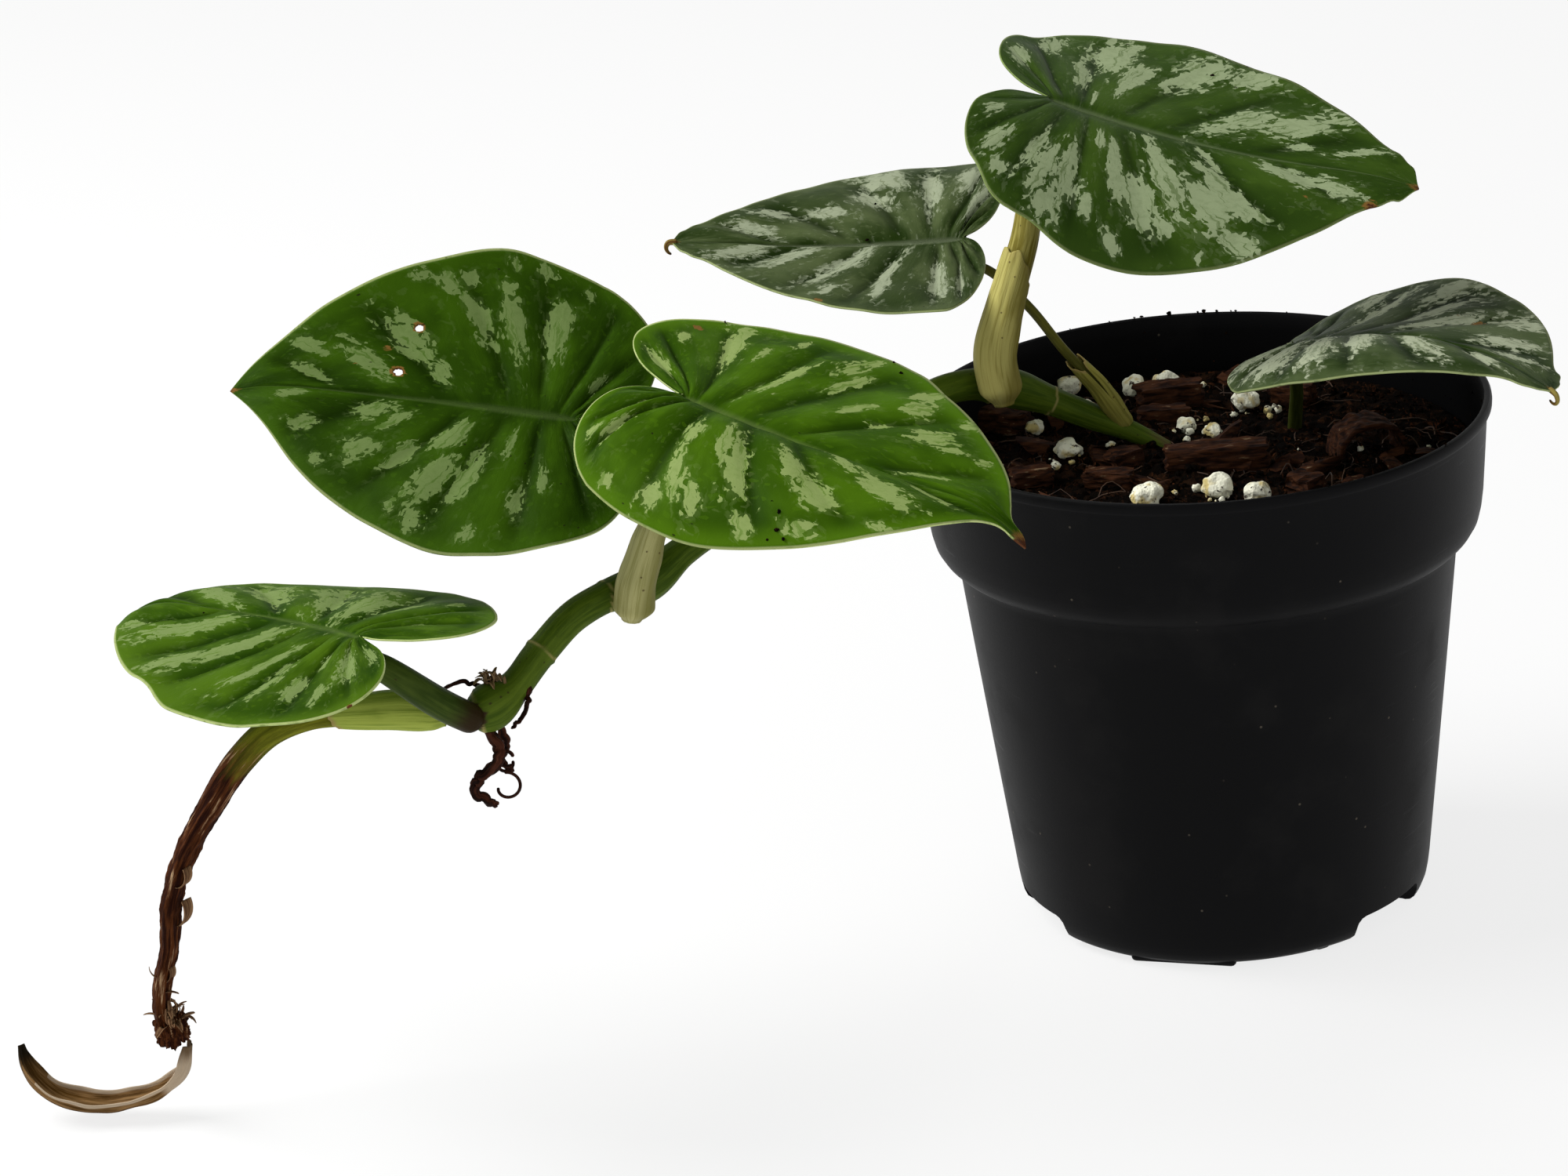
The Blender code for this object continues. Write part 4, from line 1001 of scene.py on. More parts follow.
def leafFace(name, leaf):
    made, wire, shader = newFinish("leafFace_" + name, leaf["gloss"])
    vein = wire.read("vein", "Vector")
    silver, share = wire.read("silver"), wire.read("share")
    drift = wire.node("TexNoise", None, {"Vector": vein, "Scale": 0.45, "Detail": 3.0}, "Color")
    bent = wire.node("VectorMath", {"operation": "MULTIPLY_ADD"}, {0: drift, 1: (2.0, 2.6, 0.0), 2: vein})
    blocks = wire.chance(wire.scaled(bent, (0.70, 0.26, 1.0)), 1.0)
    chips = wire.chance(wire.scaled(bent, (1.6, 0.75, 1.0)), 1.0)
    streaks = wire.clouds(wire.scaled(vein, (0.42, 0.075, 1.0)), 1.0, 4.0, 0.6)
    body = silver + (blocks - 0.5) * 0.46 + (chips - 0.5) * 0.40 + (streaks - 0.5) * 0.85
    # soft widens the patch edges; on the upper_left and right leaves this smooths the pale into a painted
    # sheen
    patch = wire.between(body, 0.480 - leaf["soft"], 0.505 + leaf["soft"])
    faint = wire.between(body, 0.22, 0.40) * 0.12
    lines = wire.clouds(wire.scaled(bent, (1.3, 0.07, 1.0)), 1.0, 3.0, 0.6)
    dark = wire.between(lines, 0.56, 0.62) * 0.55
    dark = dark + wire.between(wire.clouds(vein, 1.1, 2.0), 0.45, 0.7) * 0.15
    glow = wire.clouds(wire.scaled(vein, (0.10, 0.045, 1.0)), 1.0, 3.0)
    ridge, vale = wire.read("ridge"), wire.read("vale")
    # painted highlight: the quilted ridges between the veins are made lighter
    green = wire.mixed(wire.between(glow, 0.40, 0.66) * 0.5 + ridge * 0.25, leaf["green"], leaf["light"])
    green = wire.mixed(wire.between(share, 0.84, 0.985) * leaf["margin"], green, leaf["light"])
    green = wire.mixed(wire.between(share, 0.982, 0.994) * leaf["margin"], green, blade["paleLine"])
    # painted shade: the vein grooves of the quilting are darkened
    green = wire.mixed(vale * 0.75, green, toned(leaf["green"], 0.45))
    speckle = wire.between(wire.chance(wire.scaled(vein, (1.1, 1.1, 1.0)), 1.0), 0.90, 0.97) * 0.25
    green = wire.mixed(speckle, green, leaf["light"])
    # the pale tone is the silver marking and, on the top, upper_left and right leaves, also a painted sheen
    pale = wire.mixed(dark, leaf["silverTone"], leaf["light"])
    tone = wire.mixed((1 - (1 - patch) * (1 - faint)) * 0.96, green, pale)
    tone = wire.mixed(wire.between(share, 0.045, 0.0) * 0.22, tone, leaf["silverTone"])
    scar = wire.read("stain")
    tone = wire.mixed(wire.between(scar + (chips - 0.5) * 0.35, 0.35, 0.55), tone, blade["scar"])
    tone = wire.mixed(wire.between(scar + (chips - 0.5) * 0.3, 0.72, 0.85), tone, blade["rot"])
    dots = wire.between(wire.cells(vein, 5.5), 0.055, 0.03)
    tone = wire.mixed(dots * 0.8, tone, blade["dot"])
    skin = wire.clouds(vein, 0.35, 2.0)
    fine = wire.clouds(wire.scaled(bent, (1.1, 0.12, 1.0)), 1.0, 3.0)
    relief = wire.bump(fine, 0.16 * mm, 0.55, wire.bump(skin, 0.04 * mm, 0.5))
    wear(shader, Base_Color=tone, Roughness=0.40 + patch * 0.10 + skin * 0.06, Normal=relief)
    return made


def leafBack(name, leaf):
    made, wire, shader = newFinish("leafBack_" + name, 0.05)
    vein = wire.read("vein", "Vector")
    fine = wire.clouds(wire.scaled(vein, (0.9, 0.1, 1.0)), 1.0, 3.0)
    tone = wire.mixed(wire.between(fine, 0.4, 0.65), toned(leaf["light"], 0.9), toned(leaf["light"], 1.5))
    tone = wire.mixed(wire.between(wire.read("share"), 0.07, 0.0) * 0.7, tone, blade["backRib"])
    wear(shader, Base_Color=tone, Roughness=0.6, Normal=wire.bump(fine, 0.15 * mm, 0.6))
    return made


def leafEdge(name, leaf):
    made, wire, shader = newFinish("leafEdge_" + name, 0.05)
    uneven = wire.clouds(wire.here(), 3 * mm, 3.0)
    share = leaf["margin"]
    pale = tuple(share * a + (1 - share) * b * 2.0 for a, b in zip(blade["paleEdge"], leaf["light"]))
    tone = wire.mixed(wire.between(uneven, 0.5, 0.72) * 0.6, pale, leaf["light"])
    tone = wire.mixed(wire.between(wire.read("stain"), 0.4, 0.6), tone, blade["scarredEdge"])
    wear(shader, Base_Color=tone, Roughness=0.5)
    return made


def openNear(piece, middle, reach):  # edit mode, with the faces near a place selected
    openMesh(piece, "FACE", "DESELECT")
    closeMesh()
    for polygon in piece.data.polygons:
        polygon.select = (polygon.center - middle).length < reach
    bpy.ops.object.mode_set(mode="EDIT")


def makeHole(piece, middle, radius):  # through a blade that is still one sheet
    openNear(piece, middle, radius * 2.4)
    bpy.ops.mesh.subdivide(number_cuts=3)
    closeMesh()
    openNear(piece, middle, radius)
    bpy.ops.mesh.delete(type="FACE")
    closeMesh()
    places, middle = pointsOf(piece), np.array(middle)
    out = places - middle
    distance = np.linalg.norm(out, axis=1)[:, None]
    ragged = radius * (1 + 0.12 * wobble(places, 0.9)[:, None])
    movePoints(piece, np.where(distance < radius * 1.15, middle + out / distance * ragged, places))


def markedPlaces(leaf, places, spots, spread, power, depth):  # 1 at the spots, fading to 0
    marks = np.zeros(len(places))
    for half, place, out, width in spots:
        away = np.linalg.norm(places - leafSpot(leaf, half, place, out)[0], axis=1) / (spread * width * mm)
        marks = np.maximum(marks, depth * np.exp(-away ** power))
    return marks


def makeLeaf(name, leaf):
    piece, across, station = newSheet(2 * blade["columns"], blade["rows"])
    side, share = np.where(across <= 0, 1.0, -1.0), np.abs(across)
    movePoints(piece, bladePlaces(leaf, side, station, share))
    phase = station * blade["veins"] + 0.35 * roughAt(station * 7, side * 3, leaf["seed"]) + 0.25 * (side > 0)
    arch = np.abs(np.sin(math.pi * phase)) ** 0.75
    fade = ease(share, 0.0, 0.22) * (1 - ease(share, 0.72, 1.0))
    fade *= ease(station, 0.12, 0.35) * (1 - ease(station, 0.9, 1.0))
    height = blade["relief"] * leaf["quilt"] * (arch - 0.45) * fade
    groove = np.exp(-(share / 0.05) ** 2) * ease(station, 0.0, 0.1) * (1 - ease(station, 0.85, 1))
    places = pointsOf(piece)
    swell = wobble(places, 17, leaf["seed"], 2) * ease(share, 0.0, 0.6) * (1 - ease(station, 0.93, 1))
    height += blade["swell"] * swell - blade["groove"] * groove
    movePoints(piece, places + pointsOf(piece, "normal") * (height * mm)[:, None])
    silver = np.zeros_like(share)
    for half, place, out, width, reach in leaf["silver"]:
        spot = np.exp(-((station - place) / width) ** 2 - ((share - out) / reach) ** 2)
        silver = np.maximum(silver, np.where(side == half, spot, 0) * 0.98)
    places = pointsOf(piece)
    stain = markedPlaces(leaf, places, leaf["stains"], 1.0, 2, 1.0)
    stain = np.maximum(stain, ease(station, 0.985, 1.0) * 0.9)
    stain = np.maximum(stain, markedPlaces(leaf, places, leaf["holes"], 1.6, 4, 0.92))
    lengthwise, outward = blade["stretch"]
    apart = side * 37 + leaf["seed"] * 11
    paint(piece, "vein", np.column_stack([station * lengthwise, share * outward, apart]))
    # the ridge mark is a painted highlight on the quilted ridges, the vale mark painted shade in the vein
    # grooves
    marks = {"silver": silver, "share": share, "stain": stain, "ridge": arch * fade,
             "vale": np.exp(-(arch / 0.38) ** 2) * fade}
    for key, values in marks.items():
        paint(piece, key, values)
    mergeSeam(piece, 2e-5)
    for half, place, out, width in leaf["holes"]:
        makeHole(piece, leafSpot(leaf, half, place, out)[0], width * mm)
    if np.mean([polygon.normal.z for polygon in piece.data.polygons]) < 0:
        openMesh(piece)
        bpy.ops.mesh.flip_normals()
        closeMesh()
    piece.data.materials.clear()
    for finish in (leafFace, leafBack, leafEdge):
        piece.data.materials.append(finish(name, leaf))
    thick = blade["thickness"] * mm
    change(piece, "SOLIDIFY", thickness=thick, offset=-1.0, material_offset=1, material_offset_rim=2)
    slot = "leaf_bright" if name in ("far_left", "middle", "low_left") else "leaf_dark"
    keep(piece, "blade_" + name, slot, "leaf_" + name)
    print("leaf made:", name)


def makeLeafDirt(finish):
    chance = random.Random(61)
    models = [crumb(chance, (1, 0.7, 0.55), 2) for _ in range(4)]
    spots = []
    for leaf in leaves.values():
        for side, station, share, size in leaf["dirt"]:
            place, normal = leafSpot(leaf, side, station, share)
            spots.append((place / mm + normal * size * 0.2, anyTurn(chance), size))
    keep(scattered("leaf_dirt", models, spots), "leaf_dirt", "potting_mix", finishes=[finish])


for name, leaf in leaves.items():
    makeLeaf(name, leaf)
makeLeafDirt(mixFinish)


# vine, petioles and sheaths: routes are (x, y, z, radius) in mm, from the older end
vine = {
    "route": (
        (4.0, 6.5, 94.0, 2.0), (-2.0, 8.5, 99.5, 2.0), (-8.4, 9.8, 103.6, 2.0), (-15.0, 11.5, 107.2, 2.4),
        (-23.5, 13.5, 110.8, 3.0), (-32.1, 13.5, 115.2, 3.3), (-41.0, 11.5, 119.8, 4.5),
        (-49.7, 7.5, 122.9, 3.6), (-56.5, 3.0, 123.6, 3.4), (-66.0, -4.5, 121.8, 3.4),
        (-80.0, -17.5, 118.6, 3.4), (-96.0, -33.0, 116.4, 4.0), (-107.0, -43.0, 114.2, 3.4),
        (-116.4, -50.6, 111.0, 3.3), (-125.9, -58.0, 107.0, 4.5), (-133.0, -61.5, 106.4, 3.5),
        (-140.0, -64.6, 104.0, 3.4), (-147.8, -70.0, 98.6, 3.4), (-154.2, -75.0, 92.9, 3.6),
        (-160.1, -79.0, 90.3, 5.2), (-164.6, -79.4, 89.6, 4.2),
    ),
    "rings": (
        (43.0, 0.25, 0.5), (59.0, 0.25, 0.5), (118.0, 0.3, 0.6), (174.0, 0.22, 0.6), (193.0, 0.28, 0.8),
        (212.0, 0.25, 0.6),
    ),
    "green": (0.036, 0.066, 0.004), "light": (0.100, 0.150, 0.012), "dryEdge": (0.30, 0.20, 0.085),
    "dot": (0.060, 0.030, 0.012), "ring": (0.36, 0.30, 0.11), "scar": (0.030, 0.016, 0.008),
    "root": (0.10, 0.075, 0.03), "stripes": 0.55, "rooted": 0.10,
    "scars": (
        ((-162.6, -83.0, 90.4), 4.2), ((-158.0, -80.6, 93.0), 1.6), ((-44.0, 6.0, 121.0), 3.0),
        ((-128.0, -62.0, 105.0), 2.4), ((-152.0, -77.0, 91.0), 1.3), ((-99.0, -37.0, 117.6), 1.8),
    ),
}
petioles = {
    "top": {
        "route": (
            (-43.2, 1.0, 119.6, 3.7), (-44.4, 2.4, 131.0, 3.9), (-40.9, 6.0, 141.9, 3.6),
            (-36.1, 10.4, 153.6, 3.2), (-31.4, 12.6, 170.0, 2.5),
        ),
        "green": (0.130, 0.105, 0.010), "light": (0.340, 0.300, 0.080), "root": (0.20, 0.16, 0.02),
        "stripes": 0.9, "rooted": 0.22,
    },
    "upper_left": {
        "route": (
            (-15.0, 11.8, 108.2, 1.3), (-21.6, 12.6, 118.4, 1.2), (-27.8, 16.0, 125.5, 1.1),
            (-35.4, 24.0, 134.8, 1.1), (-43.9, 29.6, 142.4, 1.1),
        ),
        "green": (0.050, 0.050, 0.008), "light": (0.130, 0.120, 0.018), "root": (0.16, 0.15, 0.03),
        "stripes": 0.5, "rooted": 0.22,
    },
    "right": {
        "route": (
            (22.0, 14.0, 94.0, 1.6), (22.4, 13.0, 103.0, 1.6), (22.6, 7.0, 114.0, 1.5),
            (21.8, -3.0, 124.0, 1.4),
        ),
        "green": (0.022, 0.030, 0.004), "light": (0.060, 0.070, 0.012), "root": (0.06, 0.05, 0.02),
        "stripes": 0.5, "rooted": 0.22,
    },
    "far_left": {
        "route": (
            (-96.8, -33.4, 118.0, 2.2), (-102.0, -34.6, 124.0, 2.0), (-114.0, -38.0, 130.0, 1.9),
            (-126.0, -44.0, 136.5, 1.8),
        ),
        "green": (0.036, 0.064, 0.004), "light": (0.100, 0.140, 0.012), "root": (0.14, 0.14, 0.03),
        "stripes": 0.5, "rooted": 0.22,
    },
    "middle": {
        "route": (
            (-128.2, -66.6, 104.2, 3.2), (-126.6, -66.8, 111.0, 3.1), (-123.4, -67.4, 120.0, 2.8),
            (-117.2, -69.4, 134.0, 2.1),
        ),
        "green": (0.070, 0.060, 0.004), "light": (0.230, 0.200, 0.040), "root": (0.34, 0.30, 0.13),
        "stripes": 0.9, "rooted": 0.22,
    },
    "low_left": {
        "route": ((-161.6, -82.0, 88.6, 3.2), (-168.6, -87.4, 95.6, 3.3), (-178.5, -91.0, 105.4, 3.0)),
        "green": (0.020, 0.038, 0.003), "light": (0.080, 0.115, 0.018), "root": (0.020, 0.008, 0.003),
        "stripes": 0.3, "rooted": 0.30,
    },
}
# the top and middle sheaths carry painted shade: one side of each is darkened where the light does not fall
sheaths = {
    "top": {
        "route": (
            (-43.3, 1.1, 119.6, 4.8), (-44.5, 2.4, 131.0, 4.6), (-41.2, 5.8, 141.5, 4.15),
            (-36.9, 9.8, 152.0, 3.6),
        ),
        "slant": 0.30, "open": 0.5, "face": 2.9, "tone": (0.400, 0.360, 0.110),
        "stripe": (0.170, 0.140, 0.020), "dry": 0.15, "pinch": 0.55, "shadeLean": (0.22, -70.2),
    },
    "upper_left": {
        "route": ((-15.0, 11.7, 107.6, 2.3), (-21.6, 12.6, 118.4, 2.2), (-27.0, 15.5, 124.6, 1.7)),
        "slant": 0.22, "open": 0.5, "face": 0.5, "tone": (0.24, 0.22, 0.045),
        "stripe": (0.085, 0.080, 0.010), "dry": 0.6, "pinch": 0.55, "shadeLean": (),
    },
    "middle": {
        "route": (
            (-128.4, -66.4, 102.6, 4.4), (-126.6, -66.8, 111.0, 4.1), (-123.6, -67.4, 119.6, 3.5),
            (-121.0, -68.2, 126.0, 3.0),
        ),
        "slant": 0.25, "open": 1.2, "face": 0.4, "tone": (0.370, 0.350, 0.150),
        "stripe": (0.190, 0.180, 0.045), "dry": 0.4, "pinch": 0.55, "shadeLean": (0.32, -160.4),
    },
    "shoot": {
        "route": (
            (-168.6, -77.8, 89.9, 3.9), (-178.0, -77.4, 90.9, 4.2), (-187.0, -77.6, 91.4, 3.6),
            (-193.5, -77.8, 91.6, 2.9),
        ),
        "slant": 0.14, "open": 1.0, "face": 4.2, "tone": (0.300, 0.360, 0.060),
        "stripe": (0.130, 0.190, 0.018), "dry": 0.75, "pinch": 0.22, "shadeLean": (),
    },
}


def stemSkin(name, stem):
    made, wire, shader = newFinish(name, 0.05)
    grain, run = wire.read("grain", "Vector"), wire.read("run")
    fibres = wire.clouds(wire.scaled(grain, (1.0, 1.0, 0.06)), 0.75, 4.0, 0.6)
    blotch = wire.clouds(wire.scaled(grain, (1.0, 1.0, 0.35)), 4.5, 3.0)
    pores = wire.between(wire.cells(wire.scaled(grain, (1.0, 1.0, 0.7)), 1.9), 0.14, 0.07)
    tone = wire.mixed(wire.between(fibres, 0.40, 0.66) * stem["stripes"], stem["green"], stem["light"])
    tone = wire.mixed(wire.between(blotch, 0.40, 0.68) * 0.45, tone, stem["light"])
    foot = wire.between(run + (blotch - 0.5) * 0.12, stem["rooted"], stem["rooted"] * 0.35)
    tone = wire.mixed(foot * 0.9, tone, stem["root"])
    tone = wire.mixed(wire.read("ring"), tone, vine["ring"])
    tone = wire.mixed(wire.between(wire.read("scar") + (fibres - 0.5) * 0.6, 0.42, 0.6), tone, vine["scar"])
    tone = wire.mixed(pores * wire.between(blotch, 0.46, 0.6) * 0.7, tone, vine["scar"])
    soft = wire.clouds(wire.scaled(grain, (1.0, 1.0, 0.5)), 0.9, 3.0)
    normal = wire.bump(fibres, 0.22 * mm, 0.6, wire.bump(soft, 0.10 * mm, 0.5))
    wear(shader, Base_Color=tone, Roughness=0.44 + 0.12 * blotch, Normal=normal)
    return made


def makeVine():
    def swell(turn, arc, share):
        grown = 1 + 0.018 * np.cos(turn * 5 + arc * 0.02) + 0.012 * np.cos(turn * 9 - arc * 0.03)
        for place, width, height in vine["rings"]:
            grown += height * 0.10 * np.exp(-((arc - place) / (width * 1.6)) ** 2)
        return grown + 0.035 * roughAt(np.cos(turn), np.sin(turn), arc / 7)
    piece = rollStalk(vine["route"], 36, 0.5, swell)
    places = pointsOf(piece)
    grain = np.empty(len(places) * 3, np.float32)
    piece.data.attributes["grain"].data.foreach_get("vector", grain)
    arc = grain[2::3] + 1.1 * roughAt(*(places / (5 * mm)).T)
    ring = sum(np.exp(-((arc - place) / width) ** 4) for place, width, _ in vine["rings"])
    paint(piece, "ring", np.minimum(ring, 1) * 0.75)
    scar = np.zeros(len(places))
    for place, width in vine["scars"]:
        away = np.linalg.norm(places - onDesign(place), axis=1) / (width * mm)
        scar = np.maximum(scar, 0.8 * np.exp(-away ** 2))
    paint(piece, "scar", scar)
    keep(piece, "vine_stem", "vine_skin", "vine", finishes=[stemSkin("vineSkin", vine)])


def petioleRoute(name):  # up to the notch, then into the underside of the blade
    route = petioles[name]["route"]
    end = route[-1][3]
    place, normal = leafSpot(leaves[name], 1, 0.5, 0.0)
    place = place / mm - Vector((0, 0, lift))
    neck = place - normal * 5.0
    return (*route, (*neck, end * 0.85), (*(place - normal * 0.9), end * 0.62))


def makePetioles():
    for name, petiole in petioles.items():
        def swell(turn, arc, share):
            groove = 0.10 * np.exp(-((np.abs(turn - math.pi / 2)) / 0.35) ** 2) * ease(share, 0.3, 0.9)
            ribs = 0.012 * np.cos(turn * 13) * petiole["stripes"]
            joint = 0.10 * np.exp(-((share - 0.88) / 0.06) ** 2)
            return 1 - groove + ribs + joint
        piece = rollStalk(petioleRoute(name), 32, 0.5, swell)
        skin = stemSkin("petioleSkin_" + name, petiole)
        keep(piece, "stalk_" + name, "petiole_skin", "petiole_" + name, finishes=[skin])


def sheathSkin(name, sheath):
    made, wire, shader = newFinish("sheathSkin_" + name, 0.04)
    grain, run = wire.read("grain", "Vector"), wire.read("run")
    fibres = wire.clouds(wire.scaled(grain, (1.0, 1.0, 0.035)), 0.55, 4.0, 0.6)
    blotch = wire.clouds(wire.scaled(grain, (1.0, 1.0, 0.3)), 3.5, 3.0)
    tone = wire.mixed(wire.between(fibres, 0.46, 0.66) * 0.6, sheath["tone"], sheath["stripe"])
    tone = wire.mixed(wire.between(blotch, 0.52, 0.72) * 0.5, tone, sheath["stripe"])
    # painted shade: one side of the sheath is darkened, the side turned away from the light, so the other
    # side reads paler
    if sheath["shadeLean"]:  # paler on the side that faces the light: how far it leans, and where its middle is
        shadeLean, middle = sheath["shadeLean"]
        slant = {0: wire.here(), 1: (1.0, 0.0, -shadeLean)}
        side = wire.node("VectorMath", {"operation": "DOT_PRODUCT"}, slant, "Value")
        shade = wire.between(side, (middle - 1.6) * mm, (middle + 1.2) * mm)
        tone = wire.mixed(shade * 0.75, tone, toned(sheath["stripe"], 0.8))
    edge = wire.between(run + (blotch - 0.5) * 0.08, 0.93, 0.99)
    tone = wire.mixed(edge * sheath["dry"], tone, vine["dryEdge"])
    dots = wire.between(wire.cells(grain, 3.2), 0.10, 0.05)
    tone = wire.mixed(dots * 0.75, tone, vine["dot"])
    wear(shader, Base_Color=tone, Roughness=0.5 + 0.1 * blotch, Normal=wire.bump(fibres, 0.25 * mm, 0.7))
    return made


def makeSheaths():
    for number, (name, sheath) in enumerate(sheaths.items()):
        path = layPath(sheath["route"])
        piece, around, share = newSheet(48, int(path["length"] / (0.45 * mm)))
        gape = sheath["open"] * ease(share, 0.15, 1.0) ** 1.5 * 0.5
        turn = sheath["face"] + around * (math.pi * 1.02 - gape)
        top = 1 - sheath["slant"] * around ** 2 - 0.05 * roughAt(around * 5, number * 3.0, 0)
        arc = share * top * path["length"]
        radius = along(path, "radius", arc) * (1 + 0.05 * around + 0.02 * np.cos(turn * 11))
        radius += 0.35 * mm * roughAt(around * 2, share * 4, number)
        radius *= 1 - sheath["pinch"] * ease(share, 0.16, 0.0) ** 2
        movePoints(piece, aroundPath(path, arc, turn, radius))
        paintLength(piece, path, turn, arc, share)
        change(piece, "SOLIDIFY", thickness=0.3 * mm, offset=0.0)
        keep(piece, "sleeve_" + name, "green_sheath", "sheath_" + name, finishes=[sheathSkin(name, sheath)])


makeVine()
makePetioles()
makeSheaths()
print("vine, petioles and sheaths made")


# the withered shoot, its bud and the dried sheath
withered = {
    "route": (
        (-166.2, -77.8, 89.4, 2.6), (-176.0, -77.4, 90.8, 2.6), (-188.0, -77.6, 91.3, 2.6),
        (-197.0, -78.2, 91.6, 2.7), (-205.0, -79.0, 89.8, 3.1), (-212.6, -78.4, 83.4, 3.1),
        (-219.4, -77.8, 74.6, 2.9), (-227.3, -77.0, 62.4, 2.5), (-231.6, -76.0, 51.4, 2.5),
        (-233.6, -75.0, 40.0, 2.2), (-236.4, -75.0, 30.6, 2.1), (-237.0, -75.0, 26.4, 2.0),
        (-236.6, -74.6, 21.5, 2.2),
    ),
    "curl": (
        (-233.6, -73.8, 17.0, 1.9), (-236.0, -73.2, 11.4, 3.1), (-241.2, -72.2, 7.6, 4.0),
        (-248.0, -71.4, 5.8, 4.4), (-256.0, -70.4, 5.6, 4.4), (-262.8, -68.8, 7.6, 4.0),
        (-267.4, -66.4, 11.6, 2.9), (-269.0, -64.6, 15.6, 1.5),
    ),
    "green": (0.090, 0.094, 0.006), "brown": (0.082, 0.024, 0.006), "dark": (0.015, 0.003, 0.001),
    # the straw tone is partly the pale dry fibres and partly a painted highlight for the shoot's glossy
    # strips
    "straw": (0.44, 0.30, 0.17), "bud": (-235.6, -74.4, 20.6), "budRadius": 3.9, "strips": 34,
    "turnsAt": 0.355,
    "loose": (
        ((-229.0, -78.0, 52.0), (0.35, -0.2, -1), (7.5, 3.0)),
        ((-227.6, -79.4, 60.0), (0.35, -0.2, -1), (8.0, 2.6)),
        ((-233.8, -76.6, 36.0), (0.35, -0.2, -1), (6.5, 2.2)),
        ((-235.6, -76.0, 33.2), (-1, -0.2, 0.15), (4.6, 0.7)),
        ((-235.2, -76.4, 30.2), (1, -0.4, 0.3), (3.0, 0.8)),
    ),
    "paleRim": (0.44, 0.35, 0.25),
    "fray": ((0.26, 0.15, 0.075), (0.055, 0.022, 0.010), (0.02, 0.01, 0.006)),
    "husk": ((0.230, 0.130, 0.050), (0.060, 0.026, 0.003), (0.012, 0.008, 0.003)), "huskWall": 0.32,
}


def dryFibre(name, tones, turnsAt):
    made, wire, shader = newFinish(name, 0.04)
    green, brown, dark, straw = tones
    grain, run = wire.read("grain", "Vector"), wire.read("run")
    fibres = wire.clouds(wire.scaled(grain, (1.0, 1.0, 0.07)), 0.9, 5.0, 0.65)
    blotch = wire.clouds(wire.scaled(grain, (1.0, 1.0, 0.22)), 3.0, 3.0)
    dead = wire.between(run + (blotch - 0.5) * 0.22 + (fibres - 0.5) * 0.10, turnsAt, turnsAt + 0.10)
    tone = wire.mixed(wire.between(fibres, 0.42, 0.62), dark, brown)
    # pale straw streaks along the fibres: the dry fibres' own colour and, on the withered shoot, also a
    # painted highlight
    tone = wire.mixed(wire.between(fibres + (blotch - 0.5) * 0.5, 0.60, 0.70) * 0.8, tone, straw)
    alive = wire.mixed(wire.between(fibres, 0.40, 0.62) * 0.8, green, toned(green, 2.0))
    tone = wire.mixed(dead, alive, tone)
    normal = wire.bump(fibres, 0.5 * mm, 0.9, wire.bump(blotch, 0.3 * mm, 0.5))
    wear(shader, Base_Color=tone, Roughness=0.62 + 0.14 * blotch, Normal=normal)
    return made


def drySheet(name, tones):
    made, wire, shader = newFinish(name, 0.04)
    straw, brown, dark = tones
    grain, run = wire.read("grain", "Vector"), wire.read("run")
    veins = wire.clouds(wire.scaled(grain, (1.0, 1.0, 0.05)), 0.75, 5.0, 0.65)
    blotch = wire.clouds(wire.scaled(grain, (1.0, 1.0, 0.25)), 4.0, 3.0)
    tone = wire.mixed(wire.between(veins, 0.38, 0.62), brown, straw)
    tone = wire.mixed(wire.between(blotch, 0.52, 0.70) * 0.8, tone, brown)
    rim = wire.between(wire.read("rim") + (blotch - 0.5) * 0.5, 0.35, 0.65)
    tone = wire.mixed(rim * 0.8, tone, withered["paleRim"])
    tone = wire.mixed(wire.between(run + (blotch - 0.5) * 0.1, 0.86, 0.96), tone, dark)
    tone = wire.mixed(wire.between(run + (blotch - 0.5) * 0.1, 0.10, 0.02) * 0.8, tone, brown)
    wear(shader, Base_Color=tone, Roughness=0.6, Normal=wire.bump(veins, 0.35 * mm, 0.9))
    return made


def dryStrip(place, turn, size, chance):  # a thin curled strip; place in mm of the design
    piece, across, share = newSheet(4, 14)
    length, width = size
    bend, cup = chance.uniform(0.6, 2.6) * chance.choice((-1, 1)), chance.uniform(0.4, 1.2)
    reach, rise = np.sin(bend * share) / bend * length, (1 - np.cos(bend * share)) / bend * length
    taper = np.sqrt(np.clip(1 - share ** 2, 0.02, 1))
    local = np.column_stack([across * width / 2 * taper, reach, rise + cup * across ** 2 * width * 0.4])
    movePoints(piece, local * mm)
    paint(piece, "grain", np.column_stack([across * 2, share * 0, share * length]))
    paint(piece, "run", 0.5 + 0 * share)
    piece.data.transform(Matrix.Translation(onDesign(place)) @ turn.to_matrix().to_4x4())
    change(piece, "SOLIDIFY", thickness=0.14 * mm, offset=0.0)
    return piece


def makeShoot(finish):
    def shrink(turn, arc, share):
        twist = arc * 0.016
        ridges = 0.13 * np.cos(turn * 3 + twist) + 0.07 * np.cos(turn * 8 - twist * 1.7)
        around = np.column_stack([np.cos(turn) * 1.2, np.sin(turn) * 1.2, arc / 5])
        crease = 0.17 * wobble(around * mm, 1.0)
        flat = 0.16 * np.cos(2 * turn + 0.6)
        return 1 + ease(share, 0.42, 0.62) * (ridges + crease + flat) + 0.02 * np.cos(turn * 9)
    piece = rollStalk(withered["route"], 40, 0.45, shrink)
    keep(piece, "shoot_stem", "dead_stem", "withered_shoot", finishes=[finish])


